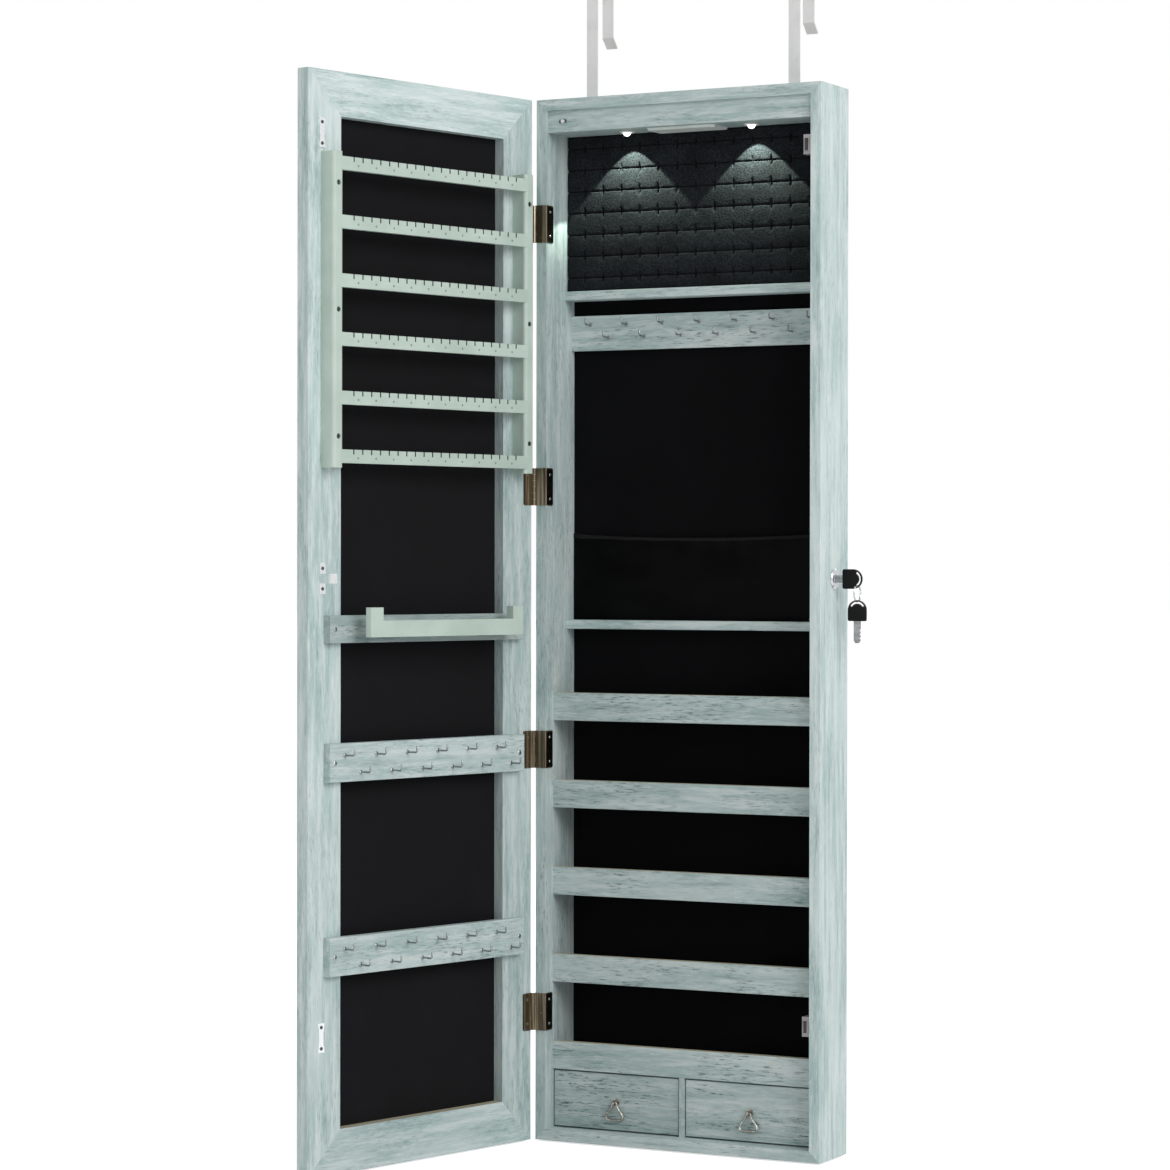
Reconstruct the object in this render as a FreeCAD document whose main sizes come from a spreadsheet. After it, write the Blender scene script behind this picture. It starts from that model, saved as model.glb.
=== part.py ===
import FreeCAD, Part
import math
import os
import Sketcher

# A tall, shallow jewelry cabinet that hangs over the top of a house door on two steel straps. Its
# mirrored front is a door on four butt hinges, shown swung open, so that the lined inside is in view.
#
# Axes, millimetres: +X to the cabinet's right, +Y to the wall, +Z up. The origin is the middle of the
# lower edge of the back, where the case lies against the house door.

SIZES = {
    # Case: four mitred boards round a back panel with a black lining.
    "case_tall": 1200.0,
    "case_wide": 358.0,
    "case_deep": 76.0,
    "case_board": 13.0,
    "case_edge": 1.0,
    "rebate_wide": 6.0,
    "back_thick": 3.0,
    "lining_thick": 2.5,
    # Door: four mitred members round a mirror and its lined backing.
    "door_gap": 2.0,
    "door_thick": 18.0,
    "door_member": 49.0,
    "door_rebate": 6.0,
    "door_edge": 1.5,
    "mirror_clear": 0.2,
    "mirror_bevel": 1.0,
    "mirror_thick": 3.0,
    "backing_thick": 2.0,
    "open_angle": 104.0,
    # Butt hinges: folded leaves with interleaved barrels on a pin beside the front corner.
    "hinge_count": 4,
    "hinge_low": 148.0,
    "hinge_down": 143.0,
    "hinge_tall": 43.0,
    "pin_out": 2.2,
    "pin_radius": 1.25,
    "pin_clear": 0.05,
    "barrel_count": 6,
    "barrel_gap": 0.15,
    "barrel_clear": 0.25,
    "leaf_thick": 0.9,
    "leaf_fold": 16.0,
    "leaf_door_wide": 17.0,
    "leaf_corner": 2.5,
    # Light bar under the top board: fascia, panel, lamps, battery box and its cover.
    "fascia_back": 4.0,
    "fascia_tall": 25.0,
    "fascia_thick": 12.0,
    "panel_thick": 4.0,
    "lamp_side": 78.6,
    "lamp_front": 43.0,
    "lamp_radius": 7.0,
    "lamp_flange": 8.6,
    "lamp_flange_thick": 0.9,
    "lamp_clear": 0.1,
    "lamp_lens": 4.6,
    "cover_wide": 84.0,
    "cover_deep": 36.0,
    "cover_thick": 3.0,
    "cover_front": 64.0,
    "cover_gap": 0.15,
    "cover_slope": 2.4,
    "bay_inset": 4.0,
    "bay_tall": 17.0,
    "bay_wall": 2.0,
    "switch_in": 19.0,
    "switch_slot": 10.5,
    "switch_tall": 4.6,
    "switch_deep": 5.0,
    "knob_wide": 4.0,
    "knob_out": 1.2,
    "knob_clear": 0.2,
    # Ring cushion on the upper shelf: rows of slits between rounded rolls.
    "cushion_thick": 20.0,
    "cushion_clear": 0.5,
    "cushion_slits": 7,
    "cushion_first": 15.5,
    "cushion_pitch": 25.0,
    "cushion_crown": 1.0,
    "cushion_slit": 1.0,
    "cushion_slit_deep": 9.0,
    # Shelves, necklace rail and pouch.
    "shelf_thick": 10.5,
    "shelf_edge": 1.0,
    "top_bay_tall": 228.5,
    "shelf_upper_back": 46.0,
    "shelf_middle": 589.5,
    "shelf_middle_back": 52.0,
    "rail_down": 58.0,
    "rail_tall": 40.5,
    "rail_thick": 7.0,
    "pouch_tall": 102.0,
    "pouch_sag": 6.0,
    "pouch_deep": 12.0,
    "pouch_skin": 1.6,
    "pouch_seam": 6.0,
    "pouch_clear": 0.3,
    # Bays of the lower half, behind five low fronts.
    "bay_count": 5,
    "bay_low": 80.5,
    "bay_pitch": 100.9,
    "bay_front_tall": 32.2,
    "bay_front_thick": 9.0,
    "bay_front_back": 18.5,
    "bay_shelf_thick": 6.0,
    # Drawers.
    "divider_thick": 6.4,
    "drawer_gap": 1.6,
    "drawer_seat": 0.2,
    "drawer_front_back": 20.5,
    "drawer_front_thick": 8.0,
    "drawer_box_tall": 44.0,
    "drawer_box_wall": 5.0,
    "drawer_box_inset": 2.5,
    "drawer_back_gap": 1.5,
    # Ring pulls.
    "pull_high": 46.9,
    "pull_out": 4.2,
    "pull_base": 4.4,
    "pull_base_thick": 1.2,
    "pull_eye": 3.0,
    "pull_eye_hole": 1.6,
    "pull_eye_thick": 2.4,
    "pull_bar": 2.2,
    "pull_tall": 22.2,
    "pull_top": 3.6,
    "pull_low": 12.2,
    "pull_hole_top": 2.0,
    "pull_hole_low": 8.8,
    "pull_turn": 2.6,
    "pull_round": 0.8,
    # Magnetic catches and their plates.
    "catch_down": 69.0,
    "catch_low": 151.0,
    "catch_tall": 22.0,
    "catch_wide": 9.0,
    "catch_deep": 14.0,
    "catch_back": 1.0,
    "catch_gap": 0.2,
    "catch_pole": 5.0,
    "strike_tall": 32.0,
    "strike_wide": 10.0,
    "strike_waist": 7.0,
    "strike_neck": 9.0,
    "strike_thick": 1.0,
    "strike_in": 19.5,
    "strike_hole": 1.6,
    # Cam lock in the right side, its catch on the door, and the keys.
    "lock_high": 648.5,
    "lock_front": 38.0,
    "lock_radius": 8.0,
    "lock_clear": 0.05,
    "lock_flange": 11.5,
    "lock_flange_thick": 2.5,
    "lock_inside": 20.8,
    "lock_chamfer": 1.2,
    "lock_nut": 11.0,
    "lock_nut_thick": 4.0,
    "plug_radius": 5.4,
    "plug_clear": 0.06,
    "plug_proud": 0.4,
    "plug_spigot": 3.0,
    "keyway_wide": 2.2,
    "keyway_tall": 8.4,
    "keyway_deep": 19.0,
    "cam_gap": 0.2,
    "cam_thick": 1.8,
    "cam_hub": 7.0,
    "cam_hook_in": 23.0,
    "cam_hook_out": 26.0,
    "cam_tip": -104.0,
    "cam_lead": -62.0,
    "cam_trail": -50.0,
    "tongue_plate_tall": 34.0,
    "tongue_plate_wide": 9.0,
    "tongue_plate_in": 20.5,
    "tongue_tall": 10.5,
    "tongue_reach": 20.0,
    "tongue_thick": 1.2,
    "tongue_in": 17.6,
    "tongue_lip": 6.6,
    "key_thick": 2.0,
    "key_wide": 8.0,
    "key_long": 24.6,
    "key_tip": 3.0,
    "key_cut": 1.4,
    "key_cut_wide": 2.2,
    "key_face": 10.5,
    "neck_long": 3.0,
    "neck_wide": 10.0,
    "bow_long": 24.5,
    "bow_radius": 11.0,
    "bow_flat": 8.0,
    "bow_thick": 3.6,
    "bow_slot_side": 4.0,
    "bow_slot_rise": 5.7,
    "bow_slot_half": 2.0,
    "ring_radius": 9.4,
    "ring_wire": 0.6,
    "ring_coil": 0.35,
    "ring_seat": 0.25,
    # Over-door straps.
    "strap_left": -146.0,
    "strap_right": 112.0,
    "strap_wide": 14.0,
    "strap_thick": 1.8,
    "strap_down": 62.0,
    "strap_hole": 2.2,
    "strap_hole_pitch": 30.0,
    "strap_rise": 135.0,
    "strap_gap": 38.0,
    "strap_bend": 2.5,
    "strap_leg": 50.0,
    "strap_foot": 11.5,
    # Earring rack on the door.
    "rack_down": 89.5,
    "rack_tall": 342.0,
    "rack_side": 18.5,
    "rack_deep": 20.0,
    "rack_stile": 15.0,
    "rack_round": 4.0,
    "rack_screw": 3.0,
    "rack_screw_deep": 2.0,
    "rack_screw_pitch": 137.0,
    "rung_count": 6,
    "rung_end": 5.2,
    "rung_tall": 14.6,
    "rung_thick": 6.0,
    "rung_seat": 5.0,
    "notch_count": 20,
    "notch_end": 15.6,
    "notch_wide": 1.8,
    "notch_deep": 5.2,
    # Bracelet bar and hook boards on the door.
    "board_side": 23.5,
    "board_thick": 10.0,
    "bracelet_low": 578.5,
    "bracelet_tall": 30.0,
    "bar_low": 585.0,
    "bar_tall": 18.0,
    "bar_end_tall": 32.2,
    "bar_end_wide": 18.0,
    "bar_long": 244.0,
    "bar_thick": 10.0,
    "bar_front": 40.0,
    "bar_post_wide": 24.0,
    "hook_board_tall": 42.0,
    "hook_board_low": 217.0,
    "hook_board_high": 427.5,
    # Wire hooks of the door boards and of the necklace rail.
    "hook_wire": 1.0,
    "hook_reach": 15.0,
    "hook_tip": 7.0,
    "hook_bend": 2.2,
    "door_hook_count": 6,
    "door_hook_end": 22.4,
    "door_hook_high": 29.0,
    "door_hook_low": 10.0,
    "rail_hook_count": 7,
    "rail_hook_end": 25.3,
    "rail_hook_high": 30.0,
    "rail_hook_low": 15.0,
}

MAX_FILES = 60
ORIGIN_PLANES = {"XY": "XY_Plane", "XZ": "XZ_Plane", "YZ": "YZ_Plane"}

doc = FreeCAD.newDocument("jewelry_cabinet")


class Dim:
    """A length of the model: the text that the document evaluates, and its present value."""

    def __init__(self, text, value):
        self.text = text
        self.value = value

    def _join(self, sign, other, value, swap=False):
        other_text = other.text if isinstance(other, Dim) else repr(other)
        left, right = (other_text, self.text) if swap else (self.text, other_text)
        return Dim(f"({left} {sign} {right})", value)

    def __add__(self, other):
        return self._join("+", other, self.value + plain(other))

    def __radd__(self, other):
        return self._join("+", other, plain(other) + self.value, swap=True)

    def __sub__(self, other):
        return self._join("-", other, self.value - plain(other))

    def __rsub__(self, other):
        return self._join("-", other, plain(other) - self.value, swap=True)

    def __mul__(self, other):
        return self._join("*", other, self.value * plain(other))

    def __rmul__(self, other):
        return self._join("*", other, plain(other) * self.value, swap=True)

    def __truediv__(self, other):
        return self._join("/", other, self.value / plain(other))

    def __neg__(self):
        return Dim(f"(0 - {self.text})", -self.value)


class Sizes:
    """The sheet of driving dimensions; each alias reads as a Dim."""

    def __init__(self, table):
        self.sheet = doc.addObject("Spreadsheet::Sheet", "Sizes")
        for row, (alias, number) in enumerate(table.items(), start=1):
            self.sheet.set(f"A{row}", alias)
            self.sheet.set(f"B{row}", str(number))
            self.sheet.setAlias(f"B{row}", alias)
        doc.recompute()

    def __getattr__(self, alias):
        return Dim(f"Sizes.{alias}", float(self.sheet.get(alias)))

    def count(self, alias):
        """A whole number, for a loop."""
        return int(self.sheet.get(alias))


def plain(length):
    """The present value of a Dim or of a bare number."""
    return length.value if isinstance(length, Dim) else float(length)


def root(square):
    """The square root of a Dim."""
    return Dim(f"sqrt({square.text})", math.sqrt(square.value))


def written(length):
    """The text of a Dim or of a bare number, for an expression."""
    return length.text if isinstance(length, Dim) else repr(float(length))


def polar(radius, angle):
    """The point at a radius and an angle in degrees."""
    turn = math.radians(plain(angle))
    across = Dim(f"({radius.text} * cos({written(angle)}))", radius.value * math.cos(turn))
    up = Dim(f"({radius.text} * sin({written(angle)}))", radius.value * math.sin(turn))
    return across, up


def bind(item, path, length):
    """Tie a property to the sheet, or set it where it is a bare number."""
    item.setExpression(path, written(length))


s = Sizes(SIZES)

# Places that several sub-parts share.
DIAGONAL = math.sqrt(0.5)
HALF = s.case_wide / 2
INNER = HALF - s.case_board
LINING = s.back_thick + s.lining_thick
PIN_X = -HALF - s.pin_out
PIN_Y = -(s.case_deep + s.door_gap / 2)
DOOR_FACE = s.door_gap / 2
DOOR_MIDDLE = s.pin_out + HALF
BARREL = s.pin_radius + s.pin_clear + s.leaf_thick
PANEL_LOW = s.case_tall - s.case_board - s.fascia_tall
SWITCH_X = s.switch_in - INNER
RAIL_HOOK_PITCH = (INNER - s.rail_hook_end) * 2 / (s.count("rail_hook_count") - 1)
SHELF_UPPER = s.case_tall - s.top_bay_tall
SHELF_UPPER_TOP = SHELF_UPPER + s.shelf_thick
RAIL_LOW = SHELF_UPPER - s.rail_down
SHELF_MIDDLE_TOP = s.shelf_middle + s.shelf_thick
BAY_FRONT = s.case_deep - s.bay_front_back
SEAT_HIGH = s.case_tall + s.strap_rise
FASCIA_FRONT = s.case_deep - s.fascia_back
FASCIA_BEHIND = FASCIA_FRONT - s.fascia_thick
COVER_BACK = s.cover_front - s.cover_deep
BAY_HALF = s.cover_wide / 2 - s.bay_inset
BAY_BACK = COVER_BACK + s.bay_inset
SLOT_TURN = root(s.bow_slot_side * s.bow_slot_side + s.bow_slot_rise * s.bow_slot_rise)
BOW_MIDDLE = s.bow_long - s.bow_radius
KEY_X = HALF + s.key_face
RING_X = KEY_X + BOW_MIDDLE + s.bow_slot_side
RING_DIP = s.bow_thick * s.bow_thick / (s.ring_radius * 8)
RING_SEAT = s.ring_wire + RING_DIP + s.ring_seat
RING_TOP = s.lock_high - s.bow_slot_rise - s.bow_slot_half + RING_SEAT
RING_LOW = RING_TOP - s.ring_radius * 2

# name of each node -> its object
nodes = {}


def lock_at(x=0.0):
    """A point on the lock's axis."""
    return {"x": x, "y": -s.lock_front, "z": s.lock_high}


def place_in(item, frame):
    """Put an item in the case's frame, or in the open door's frame, whose Z axis is the hinge pin."""
    if frame == "case":
        return
    item.Placement = FreeCAD.Placement(
        FreeCAD.Vector(PIN_X.value, PIN_Y.value, 0),
        FreeCAD.Rotation(FreeCAD.Vector(0, 0, -1), s.open_angle.value),
    )
    bind(item, "Placement.Base.x", PIN_X)
    bind(item, "Placement.Base.y", PIN_Y)
    bind(item, "Placement.Rotation.Angle", s.open_angle)


def node(name, item):
    """Keep an item as a node of the model."""
    item.Label = name
    nodes[name] = item
    return item


def new_body(name, frame="case"):
    body = doc.addObject("PartDesign::Body", name)
    place_in(body, frame)
    return body


def new_sketch(body, plane, start=0.0):
    """A sketch on an origin plane of its body, moved along the plane's normal.

    The normal of XY is +Z, of YZ +X and of XZ -Y, so a start on XZ is a depth in front of the back.
    """
    sketch = body.newObject("Sketcher::SketchObject", f"{body.Name}_sketch")
    origin = [f for f in body.Origin.OriginFeatures if f.Role == ORIGIN_PLANES[plane]][0]
    sketch.AttachmentSupport = (origin, [""])
    sketch.MapMode = "FlatFace"
    bind(sketch, "AttachmentOffset.Base.z", start)
    return sketch


def pin_point(sketch, edge, end, corner):
    """Hold one end of an edge at a corner's coordinates."""
    for kind, length in zip(("DistanceX", "DistanceY"), corner):
        index = sketch.addConstraint(Sketcher.Constraint(kind, edge, end, plain(length)))
        bind(sketch, f"Constraints[{index}]", length)


def arc_between(start, finish, radius):
    """The arc of under a half circle from start to finish; a negative radius hollows the outline."""
    chord = finish - start
    height = math.sqrt(radius * radius - chord.Length * chord.Length / 4)
    left = FreeCAD.Vector(-chord.y, chord.x, 0).normalize()
    centre = (start + finish) / 2 + left * math.copysign(height, radius)
    first, last = (start, finish) if radius > 0 else (finish, start)
    angles = [math.atan2(p.y - centre.y, p.x - centre.x) for p in (first, last)]
    if angles[1] < angles[0]:
        angles[1] += 2 * math.pi
    circle = Part.Circle(centre, FreeCAD.Vector(0, 0, 1), abs(radius))
    return Part.ArcOfCircle(circle, angles[0], angles[1])


def outline(sketch, corners):
    """A closed outline, counter-clockwise: (x, y) leads straight on, (x, y, radius) by an arc."""
    ends = []
    points = [FreeCAD.Vector(plain(c[0]), plain(c[1]), 0) for c in corners]
    for index, corner in enumerate(corners):
        start, finish = points[index], points[(index + 1) % len(points)]
        if len(corner) == 2:
            edge = sketch.addGeometry(Part.LineSegment(start, finish))
            ends.append((edge, 1, 2))
            continue
        radius = plain(corner[2])
        edge = sketch.addGeometry(arc_between(start, finish, radius))
        ends.append((edge, 1, 2) if radius > 0 else (edge, 2, 1))
        bound = sketch.addConstraint(Sketcher.Constraint("Radius", edge, abs(radius)))
        bind(sketch, f"Constraints[{bound}]", corner[2] if radius > 0 else -corner[2])
    for index, (edge, first, last) in enumerate(ends):
        after, after_first, _ = ends[(index + 1) % len(ends)]
        sketch.addConstraint(Sketcher.Constraint("Coincident", edge, last, after, after_first))
        pin_point(sketch, edge, first, corners[index][:2])


def rectangle(sketch, left, low, right, high):
    outline(sketch, [(left, low), (right, low), (right, high), (left, high)])


def circle(sketch, x, y, radius):
    edge = sketch.addGeometry(
        Part.Circle(FreeCAD.Vector(plain(x), plain(y), 0), FreeCAD.Vector(0, 0, 1), plain(radius))
    )
    pin_point(sketch, edge, 3, (x, y))
    index = sketch.addConstraint(Sketcher.Constraint("Radius", edge, plain(radius)))
    bind(sketch, f"Constraints[{index}]", radius)


def pad(body, sketch, length):
    """Material along the sketch's normal."""
    feature = body.newObject("PartDesign::Pad", f"{body.Name}_pad")
    feature.Profile = sketch
    bind(feature, "Length", length)
    return feature


def cut(body, sketch, length):
    """A pocket along the sketch's normal; it has to take material away."""
    doc.recompute()
    before = body.Shape.Volume
    feature = body.newObject("PartDesign::Pocket", f"{body.Name}_pocket")
    feature.Profile = sketch
    feature.Reversed = True
    bind(feature, "Length", length)
    doc.recompute()
    if body.Shape.Volume > before - 1e-3:
        raise RuntimeError(f"{feature.Name} cuts nothing")
    return feature


def turned(body, sketch, axis):
    """A sketch revolved about its own H_Axis or V_Axis."""
    feature = body.newObject("PartDesign::Revolution", f"{body.Name}_turned")
    feature.Profile = sketch
    feature.ReferenceAxis = (sketch, [axis])
    feature.Angle = 360
    return feature


def row(body, feature, axis_role, length, count):
    """A linear pattern of one feature along an origin axis of its body."""
    pattern = body.newObject("PartDesign::LinearPattern", f"{body.Name}_row")
    pattern.Originals = [feature]
    axis = [f for f in body.Origin.OriginFeatures if f.Role == axis_role][0]
    pattern.Direction = (axis, [""])
    bind(pattern, "Length", length)
    pattern.Occurrences = count
    body.Tip = pattern
    return pattern


def edges_along(shape, direction, test):
    """Names of the straight edges along a direction whose middle passes a test."""
    names = []
    for index, edge in enumerate(shape.Edges, start=1):
        run = edge.Vertexes[-1].Point - edge.Vertexes[0].Point
        if run.Length < 1e-6 or not isinstance(edge.Curve, Part.Line):
            continue
        if abs(abs(run.normalize().dot(direction)) - 1) < 1e-6 and test(edge.CenterOfMass):
            names.append(f"Edge{index}")
    return names


def dress(body, kind, size, edges):
    """Fillet or chamfer named edges of a body's tip."""
    if not edges:
        raise RuntimeError(f"{body.Name} has no edge to dress")
    tip = body.Tip
    feature = body.newObject(f"PartDesign::{kind}", f"{body.Name}_{kind.lower()}")
    feature.Base = (tip, edges)
    bind(feature, "Radius" if kind == "Fillet" else "Size", size)
    return feature


def soften(body, kind, size, direction, test):
    """Fillet or chamfer a body's straight edges along a direction, in its own frame."""
    doc.recompute()
    return dress(body, kind, size, edges_along(body.Tip.Shape, FreeCAD.Vector(*direction), test))


def prism(name, plane, corners, start, length, frame="case"):
    """A body that is one padded outline."""
    body = new_body(name, frame)
    sketch = new_sketch(body, plane, start)
    outline(sketch, corners)
    pad(body, sketch, length)
    return node(name, body)


def panel(name, left, low, right, high, start, length, frame="case"):
    """An upright board: a rectangle in X and Z, and its depth towards the front."""
    return prism(name, "XZ", [(left, low), (right, low), (right, high), (left, high)], start, length, frame)


def group(name, parts, frame="case"):
    """Like pieces that share one node, as separate solids."""
    compound = doc.addObject("Part::Compound", name)
    compound.Links = parts
    place_in(compound, frame)
    return node(name, compound)


def copies(template, places, turn=0.0):
    """Links to one modelled piece, at each (x, y, z), turned about +Z."""
    links = []
    for place in places:
        link = doc.addObject("App::Link", f"{template.Name}_copy")
        link.LinkedObject = template
        links.append(tie_placement(link, *place, turn=turn))
    return links


def tie_placement(item, x=0.0, y=0.0, z=0.0, axis=(0, 0, 1), turn=0.0):
    """Place a primitive: its corner or axis point, and a turn about an axis in degrees."""
    item.Placement = FreeCAD.Placement(
        FreeCAD.Vector(plain(x), plain(y), plain(z)),
        FreeCAD.Rotation(FreeCAD.Vector(*axis), turn),
    )
    for letter, length in zip("xyz", (x, y, z)):
        bind(item, f"Placement.Base.{letter}", length)
    return item


def box(label, wide, deep, tall, x, y, z):
    item = doc.addObject("Part::Box", label)
    bind(item, "Length", wide)
    bind(item, "Width", deep)
    bind(item, "Height", tall)
    return tie_placement(item, x, y, z)


def cylinder(label, radius, length, x, y, z, axis="z"):
    item = doc.addObject("Part::Cylinder", label)
    bind(item, "Radius", radius)
    bind(item, "Height", length)
    turns = {"z": ((0, 0, 1), 0.0), "x": ((0, 1, 0), 90.0), "y": ((1, 0, 0), -90.0)}
    return tie_placement(item, x, y, z, *turns[axis])


def fused(label, items):
    result = doc.addObject("Part::MultiFuse", label)
    result.Shapes = items
    return result


def cut_from(label, base, tool):
    result = doc.addObject("Part::Cut", label)
    result.Base = base
    result.Tool = tool
    return result


# ---------------------------------------------------------------------------------------------------
# Case


def case_boards():
    """Four mitred boards, rebated behind for the back panel; the right one is bored for the lock."""
    top, inner_top = s.case_tall, s.case_tall - s.case_board
    boards = {
        "side_left": [(-HALF, 0), (-INNER, s.case_board), (-INNER, inner_top), (-HALF, top)],
        "side_right": [(HALF, 0), (HALF, top), (INNER, inner_top), (INNER, s.case_board)],
        "top_board": [(-INNER, inner_top), (INNER, inner_top), (HALF, top), (-HALF, top)],
        "bottom_board": [(-HALF, 0), (HALF, 0), (INNER, s.case_board), (-INNER, s.case_board)],
    }
    outer = {
        "side_left": ((0, 0, 1), lambda p: p.x < -HALF.value + 0.01 and p.y < -0.01),
        "side_right": ((0, 0, 1), lambda p: p.x > HALF.value - 0.01 and p.y < -0.01),
        "top_board": ((1, 0, 0), lambda p: p.z > top.value - 0.01 and p.y < -0.01),
        "bottom_board": ((1, 0, 0), lambda p: p.z < 0.01 and p.y < -0.01),
    }
    reach = INNER + s.rebate_wide
    for name, corners in boards.items():
        body = prism(name, "XZ", corners, 0, s.case_deep)
        rebate = new_sketch(body, "XZ", 0)
        rectangle(rebate, -reach, s.case_board - s.rebate_wide, reach, inner_top + s.rebate_wide)
        cut(body, rebate, s.back_thick)
        direction, is_outer = outer[name]
        soften(body, "Fillet", s.case_edge, direction, is_outer)
    right = nodes["side_right"]
    bore = new_sketch(right, "YZ", INNER)
    circle(bore, -s.lock_front, s.lock_high, s.lock_radius + s.lock_clear)
    cut(right, bore, s.case_board)


def case_back():
    """Back panel in the rebate, and the black lining in front of it."""
    reach = INNER + s.rebate_wide
    low, high = s.case_board, s.case_tall - s.case_board
    panel("back_panel", -reach, low - s.rebate_wide, reach, high + s.rebate_wide, 0, s.back_thick)
    panel("back_lining", -INNER, low, INNER, high, s.back_thick, s.lining_thick)


def light_fascia():
    """Front of the light bar, with the slot and knob of its slide switch."""
    high = s.case_tall - s.case_board
    fascia = panel("light_fascia", -INNER, PANEL_LOW, INNER, high, FASCIA_BEHIND, s.fascia_thick)
    slot = new_sketch(fascia, "XZ", FASCIA_FRONT - s.switch_deep)
    middle = PANEL_LOW + s.fascia_tall / 2
    left, right = SWITCH_X - s.switch_slot / 2, SWITCH_X + s.switch_slot / 2
    rectangle(slot, left, middle - s.switch_tall / 2, right, middle + s.switch_tall / 2)
    cut(fascia, slot, s.switch_deep)
    near = s.switch_slot.value
    in_slot = lambda p: abs(p.x - SWITCH_X.value) < near
    soften(fascia, "Fillet", s.switch_tall / 2 - s.knob_clear, (0, 1, 0), in_slot)
    knob_wide, knob_tall = s.knob_wide / 2, s.switch_tall / 2 - s.knob_clear
    knob = panel(
        "switch_knob",
        SWITCH_X - knob_wide,
        middle - knob_tall,
        SWITCH_X + knob_wide,
        middle + knob_tall,
        FASCIA_FRONT - s.switch_deep + s.knob_clear,
        s.switch_deep - s.knob_clear + s.knob_out,
    )
    soften(knob, "Fillet", s.knob_wide / 2 - s.knob_clear / 2, (0, 1, 0), lambda p: True)


def light_panel():
    """Underside of the light bar, open for the lamps and the battery bay."""
    body = prism(
        "light_panel",
        "XY",
        [(-INNER, -FASCIA_BEHIND), (INNER, -FASCIA_BEHIND), (INNER, -LINING), (-INNER, -LINING)],
        PANEL_LOW,
        s.panel_thick,
    )
    holes = new_sketch(body, "XY", PANEL_LOW)
    for side in (-1, 1):
        circle(holes, s.lamp_side * side, -s.lamp_front, s.lamp_radius + s.lamp_clear)
    cut(body, holes, s.panel_thick)
    bay = new_sketch(body, "XY", PANEL_LOW)
    rectangle(bay, -BAY_HALF, -FASCIA_BEHIND, BAY_HALF, -BAY_BACK)
    cut(body, bay, s.panel_thick)


def led_lamps():
    """Two round lamps: a flange under the panel, a body through it and a small pointed lens."""
    flange_low = PANEL_LOW - s.lamp_flange_thick
    high = PANEL_LOW + s.panel_thick + s.lamp_flange_thick
    lamp = new_body("lamp")
    profile = new_sketch(lamp, "XZ", 0)
    outline(
        profile,
        [
            (0, flange_low - s.lamp_lens),
            (s.lamp_lens * 0.7, flange_low - s.lamp_lens * 0.7),
            (s.lamp_lens, flange_low),
            (s.lamp_flange, flange_low),
            (s.lamp_flange, PANEL_LOW),
            (s.lamp_radius, PANEL_LOW),
            (s.lamp_radius, high),
            (0, high),
        ],
    )
    turned(lamp, profile, "V_Axis")
    places = [(s.lamp_side * side, -s.lamp_front, 0) for side in (-1, 1)]
    group("led_lamps", copies(lamp, places))


def battery_bay():
    """Box above the panel for the batteries, and the sloped cover that swings down from it."""
    wall = s.bay_wall
    shell = prism(
        "battery_box",
        "XY",
        [
            (-BAY_HALF - wall, -FASCIA_BEHIND),
            (BAY_HALF + wall, -FASCIA_BEHIND),
            (BAY_HALF + wall, -BAY_BACK + wall),
            (-BAY_HALF - wall, -BAY_BACK + wall),
        ],
        PANEL_LOW + s.panel_thick,
        s.bay_tall,
    )
    hollow = new_sketch(shell, "XY", PANEL_LOW + s.panel_thick)
    rectangle(hollow, -BAY_HALF, wall - FASCIA_BEHIND, BAY_HALF, -BAY_BACK)
    cut(shell, hollow, s.bay_tall - wall)

    reach, low = s.cover_wide / 2, PANEL_LOW - s.cover_gap - s.cover_thick
    cover = prism(
        "battery_cover",
        "XY",
        [(-reach, -s.cover_front), (reach, -s.cover_front), (reach, -COVER_BACK), (-reach, -COVER_BACK)],
        low,
        s.cover_thick,
    )
    at_low = lambda p: p.z < low.value + 0.01
    soften(cover, "Chamfer", s.cover_slope, (1, 0, 0), at_low)
    notch = new_sketch(cover, "XY", low)
    circle(notch, s.bay_inset * 2 - reach, -COVER_BACK - s.bay_inset * 2, s.cover_slope)
    cut(cover, notch, s.cover_thick / 2)


def ring_cushion():
    """Foam pad on the upper shelf: gently crowned rolls with a slit between each pair, for rings."""
    low, high = SHELF_UPPER_TOP, PANEL_LOW - s.cushion_clear
    shoulder = -(LINING + s.cushion_thick - s.cushion_crown)
    bottom = -(LINING + s.cushion_thick - s.cushion_slit_deep)
    slits = [low + s.cushion_first + s.cushion_pitch * index for index in range(s.count("cushion_slits"))]
    corners = [(-LINING, low), (-LINING, high)]
    roll_top = high
    for slit in reversed(slits):
        roll_low = slit + s.cushion_slit / 2
        corners.append((shoulder, roll_top, crown_radius(roll_top - roll_low)))
        corners += [(shoulder, roll_low), (bottom, roll_low), (bottom, slit - s.cushion_slit / 2)]
        roll_top = slit - s.cushion_slit / 2
    corners.append((shoulder, roll_top, crown_radius(roll_top - low)))
    corners.append((shoulder, low))
    body = prism("ring_cushion", "YZ", corners, s.cushion_clear - INNER, (INNER - s.cushion_clear) * 2)
    return body


def crown_radius(tall):
    """Radius of the arc that crowns a roll of this height."""
    return (tall * tall / 4 + s.cushion_crown * s.cushion_crown) / (s.cushion_crown * 2)


def shelves():
    """Two shelves, with their front edges eased."""
    for name, low, back in (
        ("shelf_upper", SHELF_UPPER, s.shelf_upper_back),
        ("shelf_middle", s.shelf_middle, s.shelf_middle_back),
    ):
        deep = s.case_deep - back
        body = panel(name, -INNER, low, INNER, low + s.shelf_thick, LINING, deep - LINING)
        front = 0.01 - deep.value
        soften(body, "Fillet", s.shelf_edge, (1, 0, 0), lambda p: p.y < front)


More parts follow.
